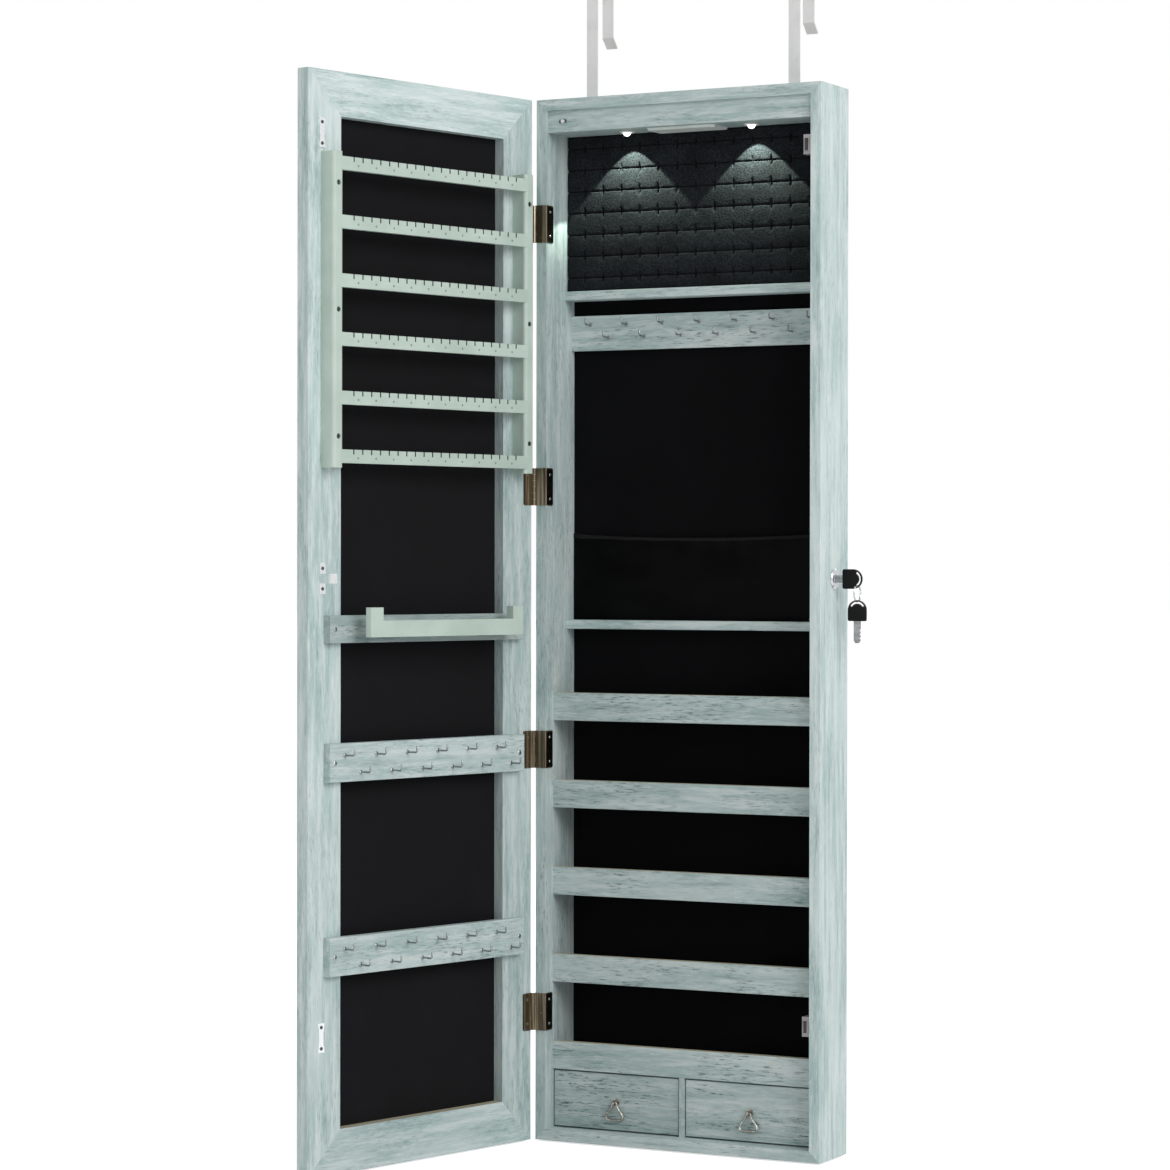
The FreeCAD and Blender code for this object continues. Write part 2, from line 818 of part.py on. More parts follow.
def hook(name):
    """A wire hook out of a face at Y 0 towards -Y, and up at its end.

    Six flats stand for the round of the wire and a slant for its bend, which keeps the hooks light.
    """
    body = new_body(name)
    section = new_sketch(body, "XZ", 0)
    outline(section, [polar(s.hook_wire, 60 * index) for index in range(6)])
    path = new_sketch(body, "YZ", 0)
    out, bend = -s.hook_reach, s.hook_bend
    points = [(0.0, 0.0), (out + bend, 0.0), (out, bend), (out, s.hook_tip)]
    vectors = [FreeCAD.Vector(plain(x), plain(y), 0) for x, y in points]
    lines = [path.addGeometry(Part.LineSegment(*ends)) for ends in zip(vectors, vectors[1:])]
    for line, (near, far) in zip(lines, zip(points, points[1:])):
        pin_point(path, line, 1, near)
        pin_point(path, line, 2, far)
    pipe = body.newObject("PartDesign::AdditivePipe", f"{name}_wire")
    pipe.Profile = section
    pipe.Spine = (path, [])
    pipe.Transition = "Right corner"
    return body


def staggered(count, pitch, middle, y, high, low):
    """Places of an upper row of hooks and of a lower row shifted by half a pitch."""
    upper = [(middle + pitch * (index - (count - 1) / 2), y, high) for index in range(count)]
    lower = [(middle + pitch * (index - (count - 2) / 2), y, low) for index in range(count - 1)]
    return upper + lower


def necklaces():
    """Rail with two staggered rows of hooks, and the pouch that takes the ends of the chains."""
    panel("necklace_rail", -INNER, RAIL_LOW, INNER, RAIL_LOW + s.rail_tall, LINING, s.rail_thick)
    places = staggered(
        s.count("rail_hook_count"),
        RAIL_HOOK_PITCH,
        0.0,
        -(LINING + s.rail_thick),
        RAIL_LOW + s.rail_hook_high,
        RAIL_LOW + s.rail_hook_low,
    )
    group("necklace_hooks", copies(hook("rail_hook"), places))

    wide, skin = INNER - s.pouch_clear, LINING + s.pouch_skin
    belly = wide - s.pouch_seam
    low, high = SHELF_MIDDLE_TOP, SHELF_MIDDLE_TOP + s.pouch_tall
    radius = (belly * belly + s.pouch_deep * s.pouch_deep) / (s.pouch_deep * 2)
    pouch = prism(
        "necklace_pouch",
        "XY",
        [
            (-wide, -skin),
            (-belly, -skin, radius),
            (belly, -skin),
            (wide, -skin),
            (wide, -LINING),
            (belly, -LINING, -radius),
            (-belly, -LINING),
            (-wide, -LINING),
        ],
        low,
        s.pouch_tall,
    )
    sag = s.pouch_sag
    droop = new_sketch(pouch, "XZ", 0)
    outline(
        droop,
        [
            (-INNER, high, (INNER * INNER + sag * sag) / (sag * 2)),
            (INNER, high),
            (INNER, high + sag),
            (-INNER, high + sag),
        ],
    )
    cut(pouch, droop, s.case_deep)


def bays():
    """Five low fronts with shelves behind their lower edges; the lowest shelf decks the drawers."""
    deep = BAY_FRONT - s.bay_front_thick
    shelf_deep = deep - LINING
    upper = []
    for index in range(s.count("bay_count")):
        low = s.bay_low + s.bay_pitch * index
        high = low + s.bay_front_tall
        front = panel(f"bay_front_{index + 1}", -INNER, low, INNER, high, deep, s.bay_front_thick)
        at_top = lambda p: p.y < 0.01 - BAY_FRONT.value
        soften(front, "Fillet", s.shelf_edge, (1, 0, 0), at_top)
        if index == 0:
            panel("drawer_deck", -INNER, low, INNER, low + s.bay_shelf_thick, LINING, shelf_deep)
            continue
        body = new_body(f"bay_shelf_{index + 1}")
        sketch = new_sketch(body, "XZ", LINING)
        rectangle(sketch, -INNER, low, INNER, low + s.bay_shelf_thick)
        pad(body, sketch, shelf_deep)
        upper.append(body)
    group("bay_shelves", upper)
    half = s.divider_thick / 2
    panel("drawer_divider", -half, s.case_board, half, s.bay_low, LINING, BAY_FRONT - LINING)


def drawers():
    """Two drawers side by side, each a front, a box behind it and a hanging ring pull."""
    near, far = s.divider_thick / 2 + s.drawer_gap, INNER - s.drawer_gap
    middle = (near + far) / 2
    front_deep = s.case_deep - s.drawer_front_back
    box_deep = front_deep - s.drawer_front_thick
    low, high = s.case_board + s.drawer_gap, s.bay_low - s.drawer_gap
    box_low, box_back = s.case_board + s.drawer_seat, LINING + s.drawer_back_gap
    inset, wall = s.drawer_box_inset, s.drawer_box_wall
    box_high = box_low + s.drawer_box_tall
    eye = pull_eye()
    for side, name in ((-1, "left"), (1, "right")):
        left, right = (-far, -near) if side < 0 else (near, far)
        front = panel(f"drawer_front_{name}", left, low, right, high, box_deep, s.drawer_front_thick)
        outer = 0.01 - front_deep.value
        soften(front, "Fillet", s.shelf_edge, (1, 0, 0), lambda p: p.y < outer)
        tray = panel(
            f"drawer_box_{name}",
            left + inset,
            box_low,
            right - inset,
            box_high,
            box_back,
            box_deep - box_back,
        )
        hollow = new_sketch(tray, "XY", box_low + wall)
        rectangle(hollow, left + inset + wall, wall - box_deep, right - inset - wall, -box_back - wall)
        cut(tray, hollow, s.drawer_box_tall)
        place = (middle * side, -front_deep, s.pull_high)
        group(f"pull_post_{name}", copies(eye, [place]))
        pull_ring(f"pull_ring_{name}", (middle * side, -front_deep - s.pull_out, s.pull_high))


def pull_eye():
    """A round rose with an eye, out of a face at Y 0 towards -Y."""
    rose = cylinder("rose", s.pull_base, s.pull_base_thick, 0, -s.pull_base_thick, 0, "y")
    half = s.pull_eye_thick / 2
    cheek = cylinder("cheek", s.pull_eye, s.pull_eye_thick, -half, -s.pull_out, 0, "x")
    neck = box("neck", s.pull_eye_thick, s.pull_out, s.pull_eye * 2, -half, -s.pull_out, -s.pull_eye)
    hole = cylinder("eye_hole", s.pull_eye_hole, s.pull_eye_thick * 2, -half * 2, -s.pull_out, 0, "x")
    return cut_from("pull_eye", fused("eye_solid", [rose, neck, cheek]), hole)


def pull_ring(name, place):
    """A three-cornered bail of round bar; its top bar lies in the eye, on the body's own X axis."""
    body = new_body(name)
    tie_placement(body, *place)
    bar = s.pull_bar
    high, low = bar / 2, bar / 2 - s.pull_tall
    sketch = new_sketch(body, "XZ", -bar / 2)
    outline(sketch, [(-s.pull_low, low), (s.pull_low, low), (s.pull_top, high), (-s.pull_top, high)])
    hole_low, hole_high = low + bar, high - bar
    outline(
        sketch,
        [
            (-s.pull_hole_low, hole_low),
            (s.pull_hole_low, hole_low),
            (s.pull_hole_top, hole_high),
            (-s.pull_hole_top, hole_high),
        ],
    )
    pad(body, sketch, bar)
    wide = s.pull_low.value - 0.01
    soften(body, "Fillet", s.pull_turn, (0, 1, 0), lambda p: abs(p.x) > wide)
    soften(body, "Fillet", s.pull_round * 1.25, (0, 1, 0), lambda p: abs(p.z - low.value) > bar.value / 2)
    doc.recompute()
    flat = [f for f in body.Tip.Shape.Faces if abs(abs(f.normalAt(0, 0).y) - 1) < 1e-6]
    rims = [edge for face in flat for edge in face.Edges]
    names = [
        f"Edge{index}"
        for index, edge in enumerate(body.Tip.Shape.Edges, start=1)
        if any(edge.isSame(rim) for rim in rims)
    ]
    dress(body, "Chamfer", s.pull_round, names)
    return node(name, body)


def catches():
    """Two magnetic catches on the right wall, each a block with its pole just short of the strike."""
    block_front = s.case_deep - s.catch_back
    pole_front = s.case_deep + s.door_gap - s.strike_thick - s.catch_gap
    middle = INNER - s.catch_wide / 2
    items = []
    for name, high in (("catch_upper", s.case_tall - s.catch_down), ("catch_lower", s.catch_low)):
        body = new_body(name)
        sketch = new_sketch(body, "XZ", block_front - s.catch_deep)
        low, top = high - s.catch_tall / 2, high + s.catch_tall / 2
        rectangle(sketch, INNER - s.catch_wide, low, INNER, top)
        pad(body, sketch, s.catch_deep)
        pole = new_sketch(body, "XZ", block_front)
        half, tall = s.catch_pole / 2, s.catch_tall / 3
        rectangle(pole, middle - half, high - tall, middle + half, high + tall)
        pad(body, pole, pole_front - block_front)
        items.append(body)
    group("catches", items)


# ---------------------------------------------------------------------------------------------------
# Hinges


def folded_leaf():
    """Case half of a hinge about z 0: three barrels, a leaf on the front edge, folded inside it."""
    body = new_body("case_leaf")
    front, out = -s.case_deep, -s.case_deep - s.leaf_thick
    inside, end = s.leaf_thick - INNER, s.leaf_fold - s.case_deep
    sketch = new_sketch(body, "XY", -s.hinge_tall / 2)
    outline(
        sketch,
        [
            (PIN_X, out),
            (-INNER, out, s.leaf_thick),
            (inside, front),
            (inside, end),
            (-INNER, end),
            (-INNER, front),
            (PIN_X, front),
        ],
    )
    pad(body, sketch, s.hinge_tall)
    barrels(body, PIN_X, PIN_Y, 0, -HALF)
    in_fold = lambda p: p.y > end.value - 0.01
    soften(body, "Fillet", s.leaf_corner, (1, 0, 0), in_fold)
    return body


def flat_leaf():
    """Door half of a hinge about z 0, in the door's frame: three barrels and a flat leaf."""
    body = new_body("door_leaf")
    face, out = -DOOR_FACE, s.leaf_thick - DOOR_FACE
    wide = s.leaf_door_wide
    sketch = new_sketch(body, "XY", -s.hinge_tall / 2)
    rectangle(sketch, 0, face, wide, out)
    pad(body, sketch, s.hinge_tall)
    barrels(body, 0, 0, 1, s.pin_out)
    soften(body, "Fillet", s.leaf_corner, (0, 1, 0), lambda p: p.x > wide.value - 0.01)
    return body


def barrels(body, x, y, first, wood):
    """Barrels of one leaf, closed over the pin: every second one, the leaf cut back beside the others."""
    pitch = s.hinge_tall / s.barrel_count
    low = -s.hinge_tall / 2
    for index in range(s.count("barrel_count")):
        start = low + pitch * index
        if index % 2 != first:
            slot = new_sketch(body, "XY", start - s.barrel_gap / 2)
            reach = BARREL + s.barrel_clear
            rectangle(slot, x - reach, y - reach, x + reach, y + reach)
            cut(body, slot, pitch + s.barrel_gap)
    for index in range(first, s.count("barrel_count"), 2):
        sketch = new_sketch(body, "XY", low + pitch * index + s.barrel_gap / 2)
        circle(sketch, x, y, BARREL)
        pad(body, sketch, pitch - s.barrel_gap)


def hinges():
    """Four hinges: case leaves and door leaves."""
    pitch = (s.case_tall - s.hinge_low - s.hinge_down) / (s.count("hinge_count") - 1)
    heights = [s.hinge_low + pitch * index for index in range(s.count("hinge_count"))]
    places = [(0, 0, height) for height in heights]
    group("case_hinge_halves", copies(folded_leaf(), places))
    group("door_hinge_halves", copies(flat_leaf(), places), "door")


# ---------------------------------------------------------------------------------------------------
# Lock and keys


def lock():
    """Cam lock: a body through the right side, a turning plug with a keyway, and a hooked cam."""
    inside, outside = HALF - s.lock_inside, HALF + s.lock_flange_thick
    body = new_body("lock_body")
    tie_placement(body, **lock_at())
    profile = new_sketch(body, "XZ", 0)
    bore = s.plug_radius + s.plug_clear
    outline(
        profile,
        [
            (inside, bore),
            (outside, bore),
            (outside, s.lock_flange - s.lock_chamfer),
            (outside - s.lock_chamfer, s.lock_flange),
            (HALF, s.lock_flange),
            (HALF, s.lock_radius),
            (INNER, s.lock_radius),
            (INNER, s.lock_nut),
            (INNER - s.lock_nut_thick, s.lock_nut),
            (INNER - s.lock_nut_thick, s.lock_radius),
            (inside, s.lock_radius),
        ],
    )
    turned(body, profile, "H_Axis")
    node("lock_body", body)

    cam_face = inside - s.cam_gap
    cam_back = cam_face - s.cam_thick
    plug_end = outside + s.plug_proud
    barrel = cylinder("plug_barrel", s.plug_radius, plug_end - cam_face, cam_face, 0, 0, "x")
    spigot = cylinder("plug_spigot", s.plug_spigot, s.cam_thick * 2, cam_back, 0, 0, "x")
    keyway = box(
        "keyway",
        s.keyway_deep,
        s.keyway_wide,
        s.keyway_tall,
        plug_end - s.keyway_deep,
        -s.keyway_wide / 2,
        -s.keyway_tall / 2,
    )
    plug = cut_from("lock_plug", fused("plug_solid", [barrel, spigot]), keyway)
    node("lock_plug", tie_placement(plug, **lock_at()))

    cam = new_body("lock_cam")
    tie_placement(cam, **lock_at())
    disc = new_sketch(cam, "YZ", cam_back)
    circle(disc, 0, 0, s.cam_hub)
    pad(cam, disc, s.cam_thick)
    arm = new_sketch(cam, "YZ", cam_back)
    tip, lead, trail = s.cam_tip, s.cam_lead, s.cam_trail
    root_radius = s.cam_hub * 0.85
    outline(
        arm,
        [
            (*polar(s.cam_hook_out, tip), s.cam_hook_out),
            polar(s.cam_hook_out, trail),
            polar(root_radius, trail + 40),
            polar(root_radius, lead - 40),
            (*polar(s.cam_hook_in, lead), -s.cam_hook_in),
            polar(s.cam_hook_in, tip),
        ],
    )
    pad(cam, arm, s.cam_thick)
    hole = new_sketch(cam, "YZ", cam_back)
    circle(hole, 0, 0, s.plug_spigot)
    cut(cam, hole, s.cam_thick)
    node("lock_cam", cam)


def key(name, place, turn):
    """A flat key: its blade to -X and its bow to +X of the face between them, and a curved slot."""
    blade = new_body(f"{name}_blade")
    tie_placement(blade, *place, (0, 1, 0), turn)
    half, long = s.key_wide / 2, s.key_long
    profile = new_sketch(blade, "XZ", -s.key_thick / 2)
    cuts = []
    for index in range(3):
        left = s.key_tip * 1.5 - long + s.key_cut_wide * 2 * index
        middle = left + s.key_cut_wide / 2
        cuts += [(left, -half), (middle, s.key_cut - half), (left + s.key_cut_wide, -half)]
    outline(
        profile,
        [(-long, half / 2 - half), *[(s.key_tip - long, -half)], *cuts, (0, -half), (0, half)]
        + [(s.key_tip - long, half), (-long, half / 2)],
    )
    pad(blade, profile, s.key_thick)
    node(f"{name}_blade", blade)

    bow = new_body(f"{name}_bow")
    tie_placement(bow, *place, (0, 1, 0), turn)
    neck, flat, radius = s.neck_wide / 2, s.bow_flat, s.bow_radius
    sketch = new_sketch(bow, "XZ", -s.bow_thick / 2)
    outline(
        sketch,
        [
            (0, -neck),
            (s.neck_long, -neck),
            (s.neck_long * 1.5, -flat),
            (BOW_MIDDLE, -radius, radius * 1.005),
            (BOW_MIDDLE, radius),
            (s.neck_long * 1.5, flat),
            (s.neck_long, neck),
            (0, neck),
        ],
    )
    pad(bow, sketch, s.bow_thick)
    slot = new_sketch(bow, "XZ", -s.bow_thick / 2)
    side, rise = s.bow_slot_side, s.bow_slot_rise
    wide, tight = 1 + s.bow_slot_half / SLOT_TURN, 1 - s.bow_slot_half / SLOT_TURN
    cap = s.bow_slot_half * 1.01
    outline(
        slot,
        [
            (BOW_MIDDLE + side * wide, -rise * wide, SLOT_TURN + s.bow_slot_half),
            (BOW_MIDDLE + side * wide, rise * wide, cap),
            (BOW_MIDDLE + side * tight, rise * tight, s.bow_slot_half - SLOT_TURN),
            (BOW_MIDDLE + side * tight, -rise * tight, cap),
        ],
    )
    cut(bow, slot, s.bow_thick)
    node(f"{name}_bow", bow)


def keys():
    """The key in the lock, the split ring through its bow, and the spare that hangs from the ring."""
    key("key", (KEY_X, -s.lock_front, s.lock_high), 0.0)
    ring = new_body("key_ring")
    tie_placement(ring, RING_X, -s.lock_front, RING_TOP - s.ring_radius, (0, 1, 0), 90)
    middle, wire, coil = s.ring_radius, s.ring_wire, s.ring_coil
    inner, outer, side = middle - wire, middle + wire, wire + coil
    section = new_sketch(ring, "XZ", 0)
    outline(
        section,
        [
            (inner, -wire),
            (inner + coil, -side),
            (outer - coil, -side),
            (outer, -wire),
            (outer - coil, 0),
            (outer, wire),
            (outer - coil, side),
            (inner + coil, side),
            (inner, wire),
        ],
    )
    turned(ring, section, "V_Axis")
    node("key_ring", ring)
    spare_face = RING_LOW + RING_SEAT - s.bow_slot_half - SLOT_TURN - BOW_MIDDLE
    key("spare_key", (RING_X, -s.lock_front, spare_face), -90.0)


# ---------------------------------------------------------------------------------------------------
# Straps


def straps():
    """Two bent straps: down the case's back, over the house door, and out at the foot."""
    thick, gap, bend, foot = s.strap_thick, s.strap_gap, s.strap_bend, s.strap_foot
    rear, crest = thick + gap, SEAT_HIGH + thick
    knee = SEAT_HIGH - s.strap_leg
    slant = thick * DIAGONAL
    items = []
    for name, middle in (("strap_left", s.strap_left), ("strap_right", s.strap_right)):
        body = new_body(name)
        sketch = new_sketch(body, "YZ", middle - s.strap_wide / 2)
        outline(
            sketch,
            [
                (0, s.case_tall - s.strap_down),
                (thick, s.case_tall - s.strap_down),
                (thick, SEAT_HIGH - bend, -bend),
                (thick + bend, SEAT_HIGH),
                (rear - bend, SEAT_HIGH, -bend),
                (rear, SEAT_HIGH - bend),
                (rear, knee),
                (rear + foot, knee - foot),
                (rear + foot + slant, knee - foot + slant),
                (rear + thick, knee + thick * (2 * DIAGONAL - 1)),
                (rear + thick, SEAT_HIGH - bend, bend + thick),
                (rear - bend, crest),
                (thick + bend, crest, bend + thick),
                (0, SEAT_HIGH - bend),
            ],
        )
        pad(body, sketch, s.strap_wide)
        holes = new_sketch(body, "XZ", -thick)
        for index in range(2):
            circle(holes, middle, s.case_tall - s.strap_hole_pitch * (index + 0.5), s.strap_hole)
        cut(body, holes, thick)
        items.append(body)
    group("hook_straps", items)


# ---------------------------------------------------------------------------------------------------
# Door, in its own frame: X from the hinge pin, Z up, the inner face at Y -DOOR_FACE and +Y inwards


def door_frame():
    """Four mitred members with a rebate in front for the mirror and its backing."""
    left, right = s.pin_out, s.pin_out + s.case_wide
    top, wide = s.case_tall, s.door_member
    members = {
        "door_stile_hinge": [(left, 0), (left + wide, wide), (left + wide, top - wide), (left, top)],
        "door_stile_free": [(right, 0), (right, top), (right - wide, top - wide), (right - wide, wide)],
        "door_rail_top": [(left + wide, top - wide), (right - wide, top - wide), (right, top), (left, top)],
        "door_rail_bottom": [(left, 0), (right, 0), (right - wide, wide), (left + wide, wide)],
    }
    outer = {
        "door_stile_hinge": ((0, 0, 1), lambda p: p.x < left.value + 0.01),
        "door_stile_free": ((0, 0, 1), lambda p: p.x > right.value - 0.01),
        "door_rail_top": ((1, 0, 0), lambda p: p.z > top.value - 0.01),
        "door_rail_bottom": ((1, 0, 0), lambda p: p.z < 0.01),
    }
    glazing = s.mirror_thick + s.backing_thick
    reach = s.door_member - s.door_rebate
    glazed = DOOR_FACE + s.door_thick - glazing
    for name, corners in members.items():
        body = prism(name, "XZ", corners, DOOR_FACE, s.door_thick, "door")
        rebate = new_sketch(body, "XZ", glazed)
        rectangle(rebate, left + reach, reach, right - reach, top - reach)
        cut(body, rebate, glazing)
        direction, is_outer = outer[name]
        soften(body, "Fillet", s.door_edge, direction, is_outer)
    inset = reach + s.mirror_clear
    edges = (left + inset, inset, right - inset, top - inset)
    panel("door_backing", *edges, glazed, s.backing_thick, "door")
    mirror = panel("mirror", *edges, glazed + s.backing_thick, s.mirror_thick, "door")
    front = 0.01 - (DOOR_FACE + s.door_thick).value
    soften(mirror, "Chamfer", s.mirror_bevel, (1, 0, 0), lambda p: p.y < front)
    soften(mirror, "Chamfer", s.mirror_bevel, (0, 0, 1), lambda p: p.y < front)


def earring_rack():
    """Two stiles with six rungs let in flush; each rung is notched along its top."""
    deep, half = s.rack_deep, s.case_wide / 2 - s.rack_side
    high = s.case_tall - s.rack_down
    low = high - s.rack_tall
    rungs = s.count("rung_count")
    rung_low, rung_pitch = low + s.rung_end, (s.rack_tall - s.rung_end * 2 - s.rung_tall) / (rungs - 1)
    stiles = []
    for side in (-1, 1):
        body = new_body("rack_stile")
        outer, inner = DOOR_MIDDLE + half * side, DOOR_MIDDLE + (half - s.rack_stile) * side
        left, right = (outer, inner) if side < 0 else (inner, outer)
        sketch = new_sketch(body, "XZ", DOOR_FACE - deep)
        rectangle(sketch, left, low, right, high)
        pad(body, sketch, deep)
        front = (deep - DOOR_FACE).value - 0.01
        soften(body, "Fillet", s.rack_round, (0, 0, 1), lambda p: p.y > front)
        seats = new_sketch(body, "XZ", DOOR_FACE - deep)
        seat = inner + s.rung_seat * side
        seat_left, seat_right = (seat, inner) if side < 0 else (inner, seat)
        for index in range(rungs):
            start = rung_low + rung_pitch * index
            rectangle(seats, seat_left, start, seat_right, start + s.rung_tall)
        cut(body, seats, s.rung_thick)
        screws = new_sketch(body, "XZ", DOOR_FACE - deep)
        for index in (-1, 0, 1):
            height = (low + high) / 2 + s.rack_screw_pitch * index
            circle(screws, (outer + inner) / 2, height, s.rack_screw)
        cut(body, screws, s.rack_screw_deep)
        stiles.append(body)
    group("rack_stiles", stiles, "door")

    reach = half - s.rack_stile + s.rung_seat
    rung = new_body("rung")
    sketch = new_sketch(rung, "XZ", DOOR_FACE - deep)
    rectangle(sketch, DOOR_MIDDLE - reach, 0, DOOR_MIDDLE + reach, s.rung_tall)
    pad(rung, sketch, s.rung_thick)
    count, notched = s.count("notch_count"), half - s.rack_stile - s.notch_end
    first = DOOR_MIDDLE - notched
    notch = new_sketch(rung, "XZ", DOOR_FACE - deep)
    rectangle(notch, first - s.notch_wide / 2, s.rung_tall - s.notch_deep, first + s.notch_wide / 2, s.rung_tall)
    row(rung, cut(rung, notch, s.rung_thick), "X_Axis", notched * 2, count)
    places = [(0, 0, rung_low + rung_pitch * index) for index in range(rungs)]
    group("rack_rungs", copies(rung, places), "door")


def bracelet_holder():
    """Board on the door, and a bar with upturned ends held out from it by one post."""
    half = s.case_wide / 2 - s.board_side
    start = DOOR_FACE - s.board_thick
    left, right = DOOR_MIDDLE - half, DOOR_MIDDLE + half
    low, high = s.bracelet_low, s.bracelet_low + s.bracelet_tall
    board = panel("bracelet_board", left, low, right, high, start, s.board_thick, "door")
    front = (s.board_thick - DOOR_FACE).value - 0.01
    soften(board, "Fillet", s.shelf_edge, (1, 0, 0), lambda p: p.y > front)

    reach, end = s.bar_long / 2, s.bar_end_wide
    low, high, top = s.bar_low, s.bar_low + s.bar_tall, s.bar_low + s.bar_end_tall
    left, right = DOOR_MIDDLE - reach, DOOR_MIDDLE + reach
    bar = prism(
        "bracelet_bar",
        "XZ",
        [
            (left, low),
            (right, low),
            (right, top),
            (right - end, top),
            (right - end, high),
            (left + end, high),
            (left + end, top),
            (left, top),
        ],
        DOOR_FACE - s.bar_front,
        s.bar_thick,
        "door",
    )
    soften(bar, "Fillet", s.shelf_edge * 2, (0, 0, 1), lambda p: abs(p.x - DOOR_MIDDLE.value) > reach.value - 0.01)
    post = new_sketch(bar, "XZ", DOOR_FACE - s.bar_front + s.bar_thick)
    half = s.bar_post_wide / 2
    rectangle(post, DOOR_MIDDLE - half, low + 2, DOOR_MIDDLE + half, high - 2)
    pad(bar, post, s.bar_front - s.bar_thick - s.board_thick)


def hook_boards():
    """Two boards with staggered wire hooks, below the bracelet holder."""
    half = s.case_wide / 2 - s.board_side
    start = DOOR_FACE - s.board_thick
    boards, hooks = [], []
    wire = hook("door_hook")
    for low in (s.hook_board_low, s.hook_board_high):
        body = new_body("hook_board")
        sketch = new_sketch(body, "XZ", start)
        rectangle(sketch, DOOR_MIDDLE - half, low, DOOR_MIDDLE + half, low + s.hook_board_tall)
        pad(body, sketch, s.board_thick)
        front = (s.board_thick - DOOR_FACE).value - 0.01
        soften(body, "Fillet", s.shelf_edge, (1, 0, 0), lambda p: p.y > front)
        boards.append(body)
        count = s.count("door_hook_count")
        pitch = (half - s.door_hook_end) / (count / 2 - 0.25)
        heights = (low + s.door_hook_high, low + s.door_hook_low)
        for height, shift in zip(heights, (pitch / 4, -pitch / 4)):
            across = [DOOR_MIDDLE + shift + pitch * (index - (count - 1) / 2) for index in range(count)]
            places = [(x, s.board_thick - DOOR_FACE, height) for x in across]
            hooks += copies(wire, places, turn=180)
    group("hook_boards", boards, "door")
    group("door_hooks", hooks, "door")


def strikes():
    """Steel plates that the catches pull on, and the lock's tongue with its return lip."""
    middle = s.pin_out + s.case_wide - s.strike_in
    start = DOOR_FACE - s.strike_thick
    half, waist, neck = s.strike_wide / 2, s.strike_waist / 2, s.strike_neck
    plates = []
    for high in (s.case_tall - s.catch_down, s.catch_low):
        low, top = high - s.strike_tall / 2, high + s.strike_tall / 2
        body = new_body("strike_plate")
        sketch = new_sketch(body, "XZ", start)
        outline(
            sketch,
            [
                (middle - half, low),
                (middle + half, low),
                (middle + waist, low + neck),
                (middle + waist, top - neck),
                (middle + half, top),
                (middle - half, top),
                (middle - waist, top - neck),
                (middle - waist, low + neck),
            ],
        )
        pad(body, sketch, s.strike_thick)
        holes = new_sketch(body, "XZ", start)
        for height in (low + neck / 2, top - neck / 2):
            circle(holes, middle, height, s.strike_hole)
        cut(body, holes, s.strike_thick)
        plates.append(body)
    group("strike_plates", plates, "door")

    thick, tall = s.tongue_thick, s.tongue_tall / 2
    free_edge = s.pin_out + s.case_wide
    middle, side = free_edge - s.tongue_plate_in, free_edge - s.tongue_in
    plate_half, plate_tall = s.tongue_plate_wide / 2, s.tongue_plate_tall / 2
    high = s.lock_high
    body = new_body("lock_strike", "door")
    plate = new_sketch(body, "XZ", DOOR_FACE - thick)
    rectangle(plate, middle - plate_half, high - plate_tall, middle + plate_half, high + plate_tall)
    pad(body, plate, thick)
    window = new_sketch(body, "XZ", DOOR_FACE - thick)
    rectangle(window, middle - plate_half + thick * 1.5, high - tall, side, high + tall)
    cut(body, window, thick)
    holes = new_sketch(body, "XZ", DOOR_FACE - thick)
    for sign in (-1, 1):
        circle(holes, middle, high + (plate_tall + tall) / 2 * sign, s.strike_hole)
    cut(body, holes, thick)
    face, end = -DOOR_FACE, s.tongue_reach - DOOR_FACE
    tongue = new_sketch(body, "XY", high - tall)
    outline(
        tongue,
        [
            (side, face),
            (side + thick, face),
            (side + thick, end),
            (side - s.tongue_lip, end),
            (side - s.tongue_lip, end - thick),
            (side, end - thick),
        ],
    )
    pad(body, tongue, s.tongue_tall)
    node("lock_strike", body)


case_boards()
case_back()
light_fascia()
light_panel()
led_lamps()
battery_bay()
ring_cushion()
shelves()
necklaces()
bays()
drawers()
catches()
hinges()
lock()
keys()
straps()
door_frame()
earring_rack()
bracelet_holder()
hook_boards()
strikes()
doc.recompute()

faults = [item.Name for item in doc.Objects if {"Invalid", "Error"} & set(item.State)]
if faults:
    raise RuntimeError(f"not built: {faults}")
if len(nodes) > MAX_FILES:
    raise RuntimeError(f"{len(nodes)} nodes")
os.makedirs("parts", exist_ok=True)
for name, item in nodes.items():
    shape = item.Shape
    if shape.isNull() or not shape.isValid() or not shape.Solids:
        raise RuntimeError(f"{name} has no valid solid")
    shape.exportStep(f"parts/{name}.step")
print(f"{len(nodes)} nodes")
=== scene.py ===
"""Looks of an over-door jewelry cabinet with a mirrored door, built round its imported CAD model.

The lengths are metres, in the CAD model's frame: X to the cabinet's right as seen from the front,
Y to the wall and Z up. The door stands open at rest, so what sits on it is laid out in the door's
own frame, whose Z axis is the hinge pin, and turned into place.
"""

import logging
import math
import random
from collections.abc import Callable, Sequence
from dataclasses import dataclass, field
from enum import Enum
from typing import Any

import bmesh
import bpy
from mathutils import Matrix, Vector

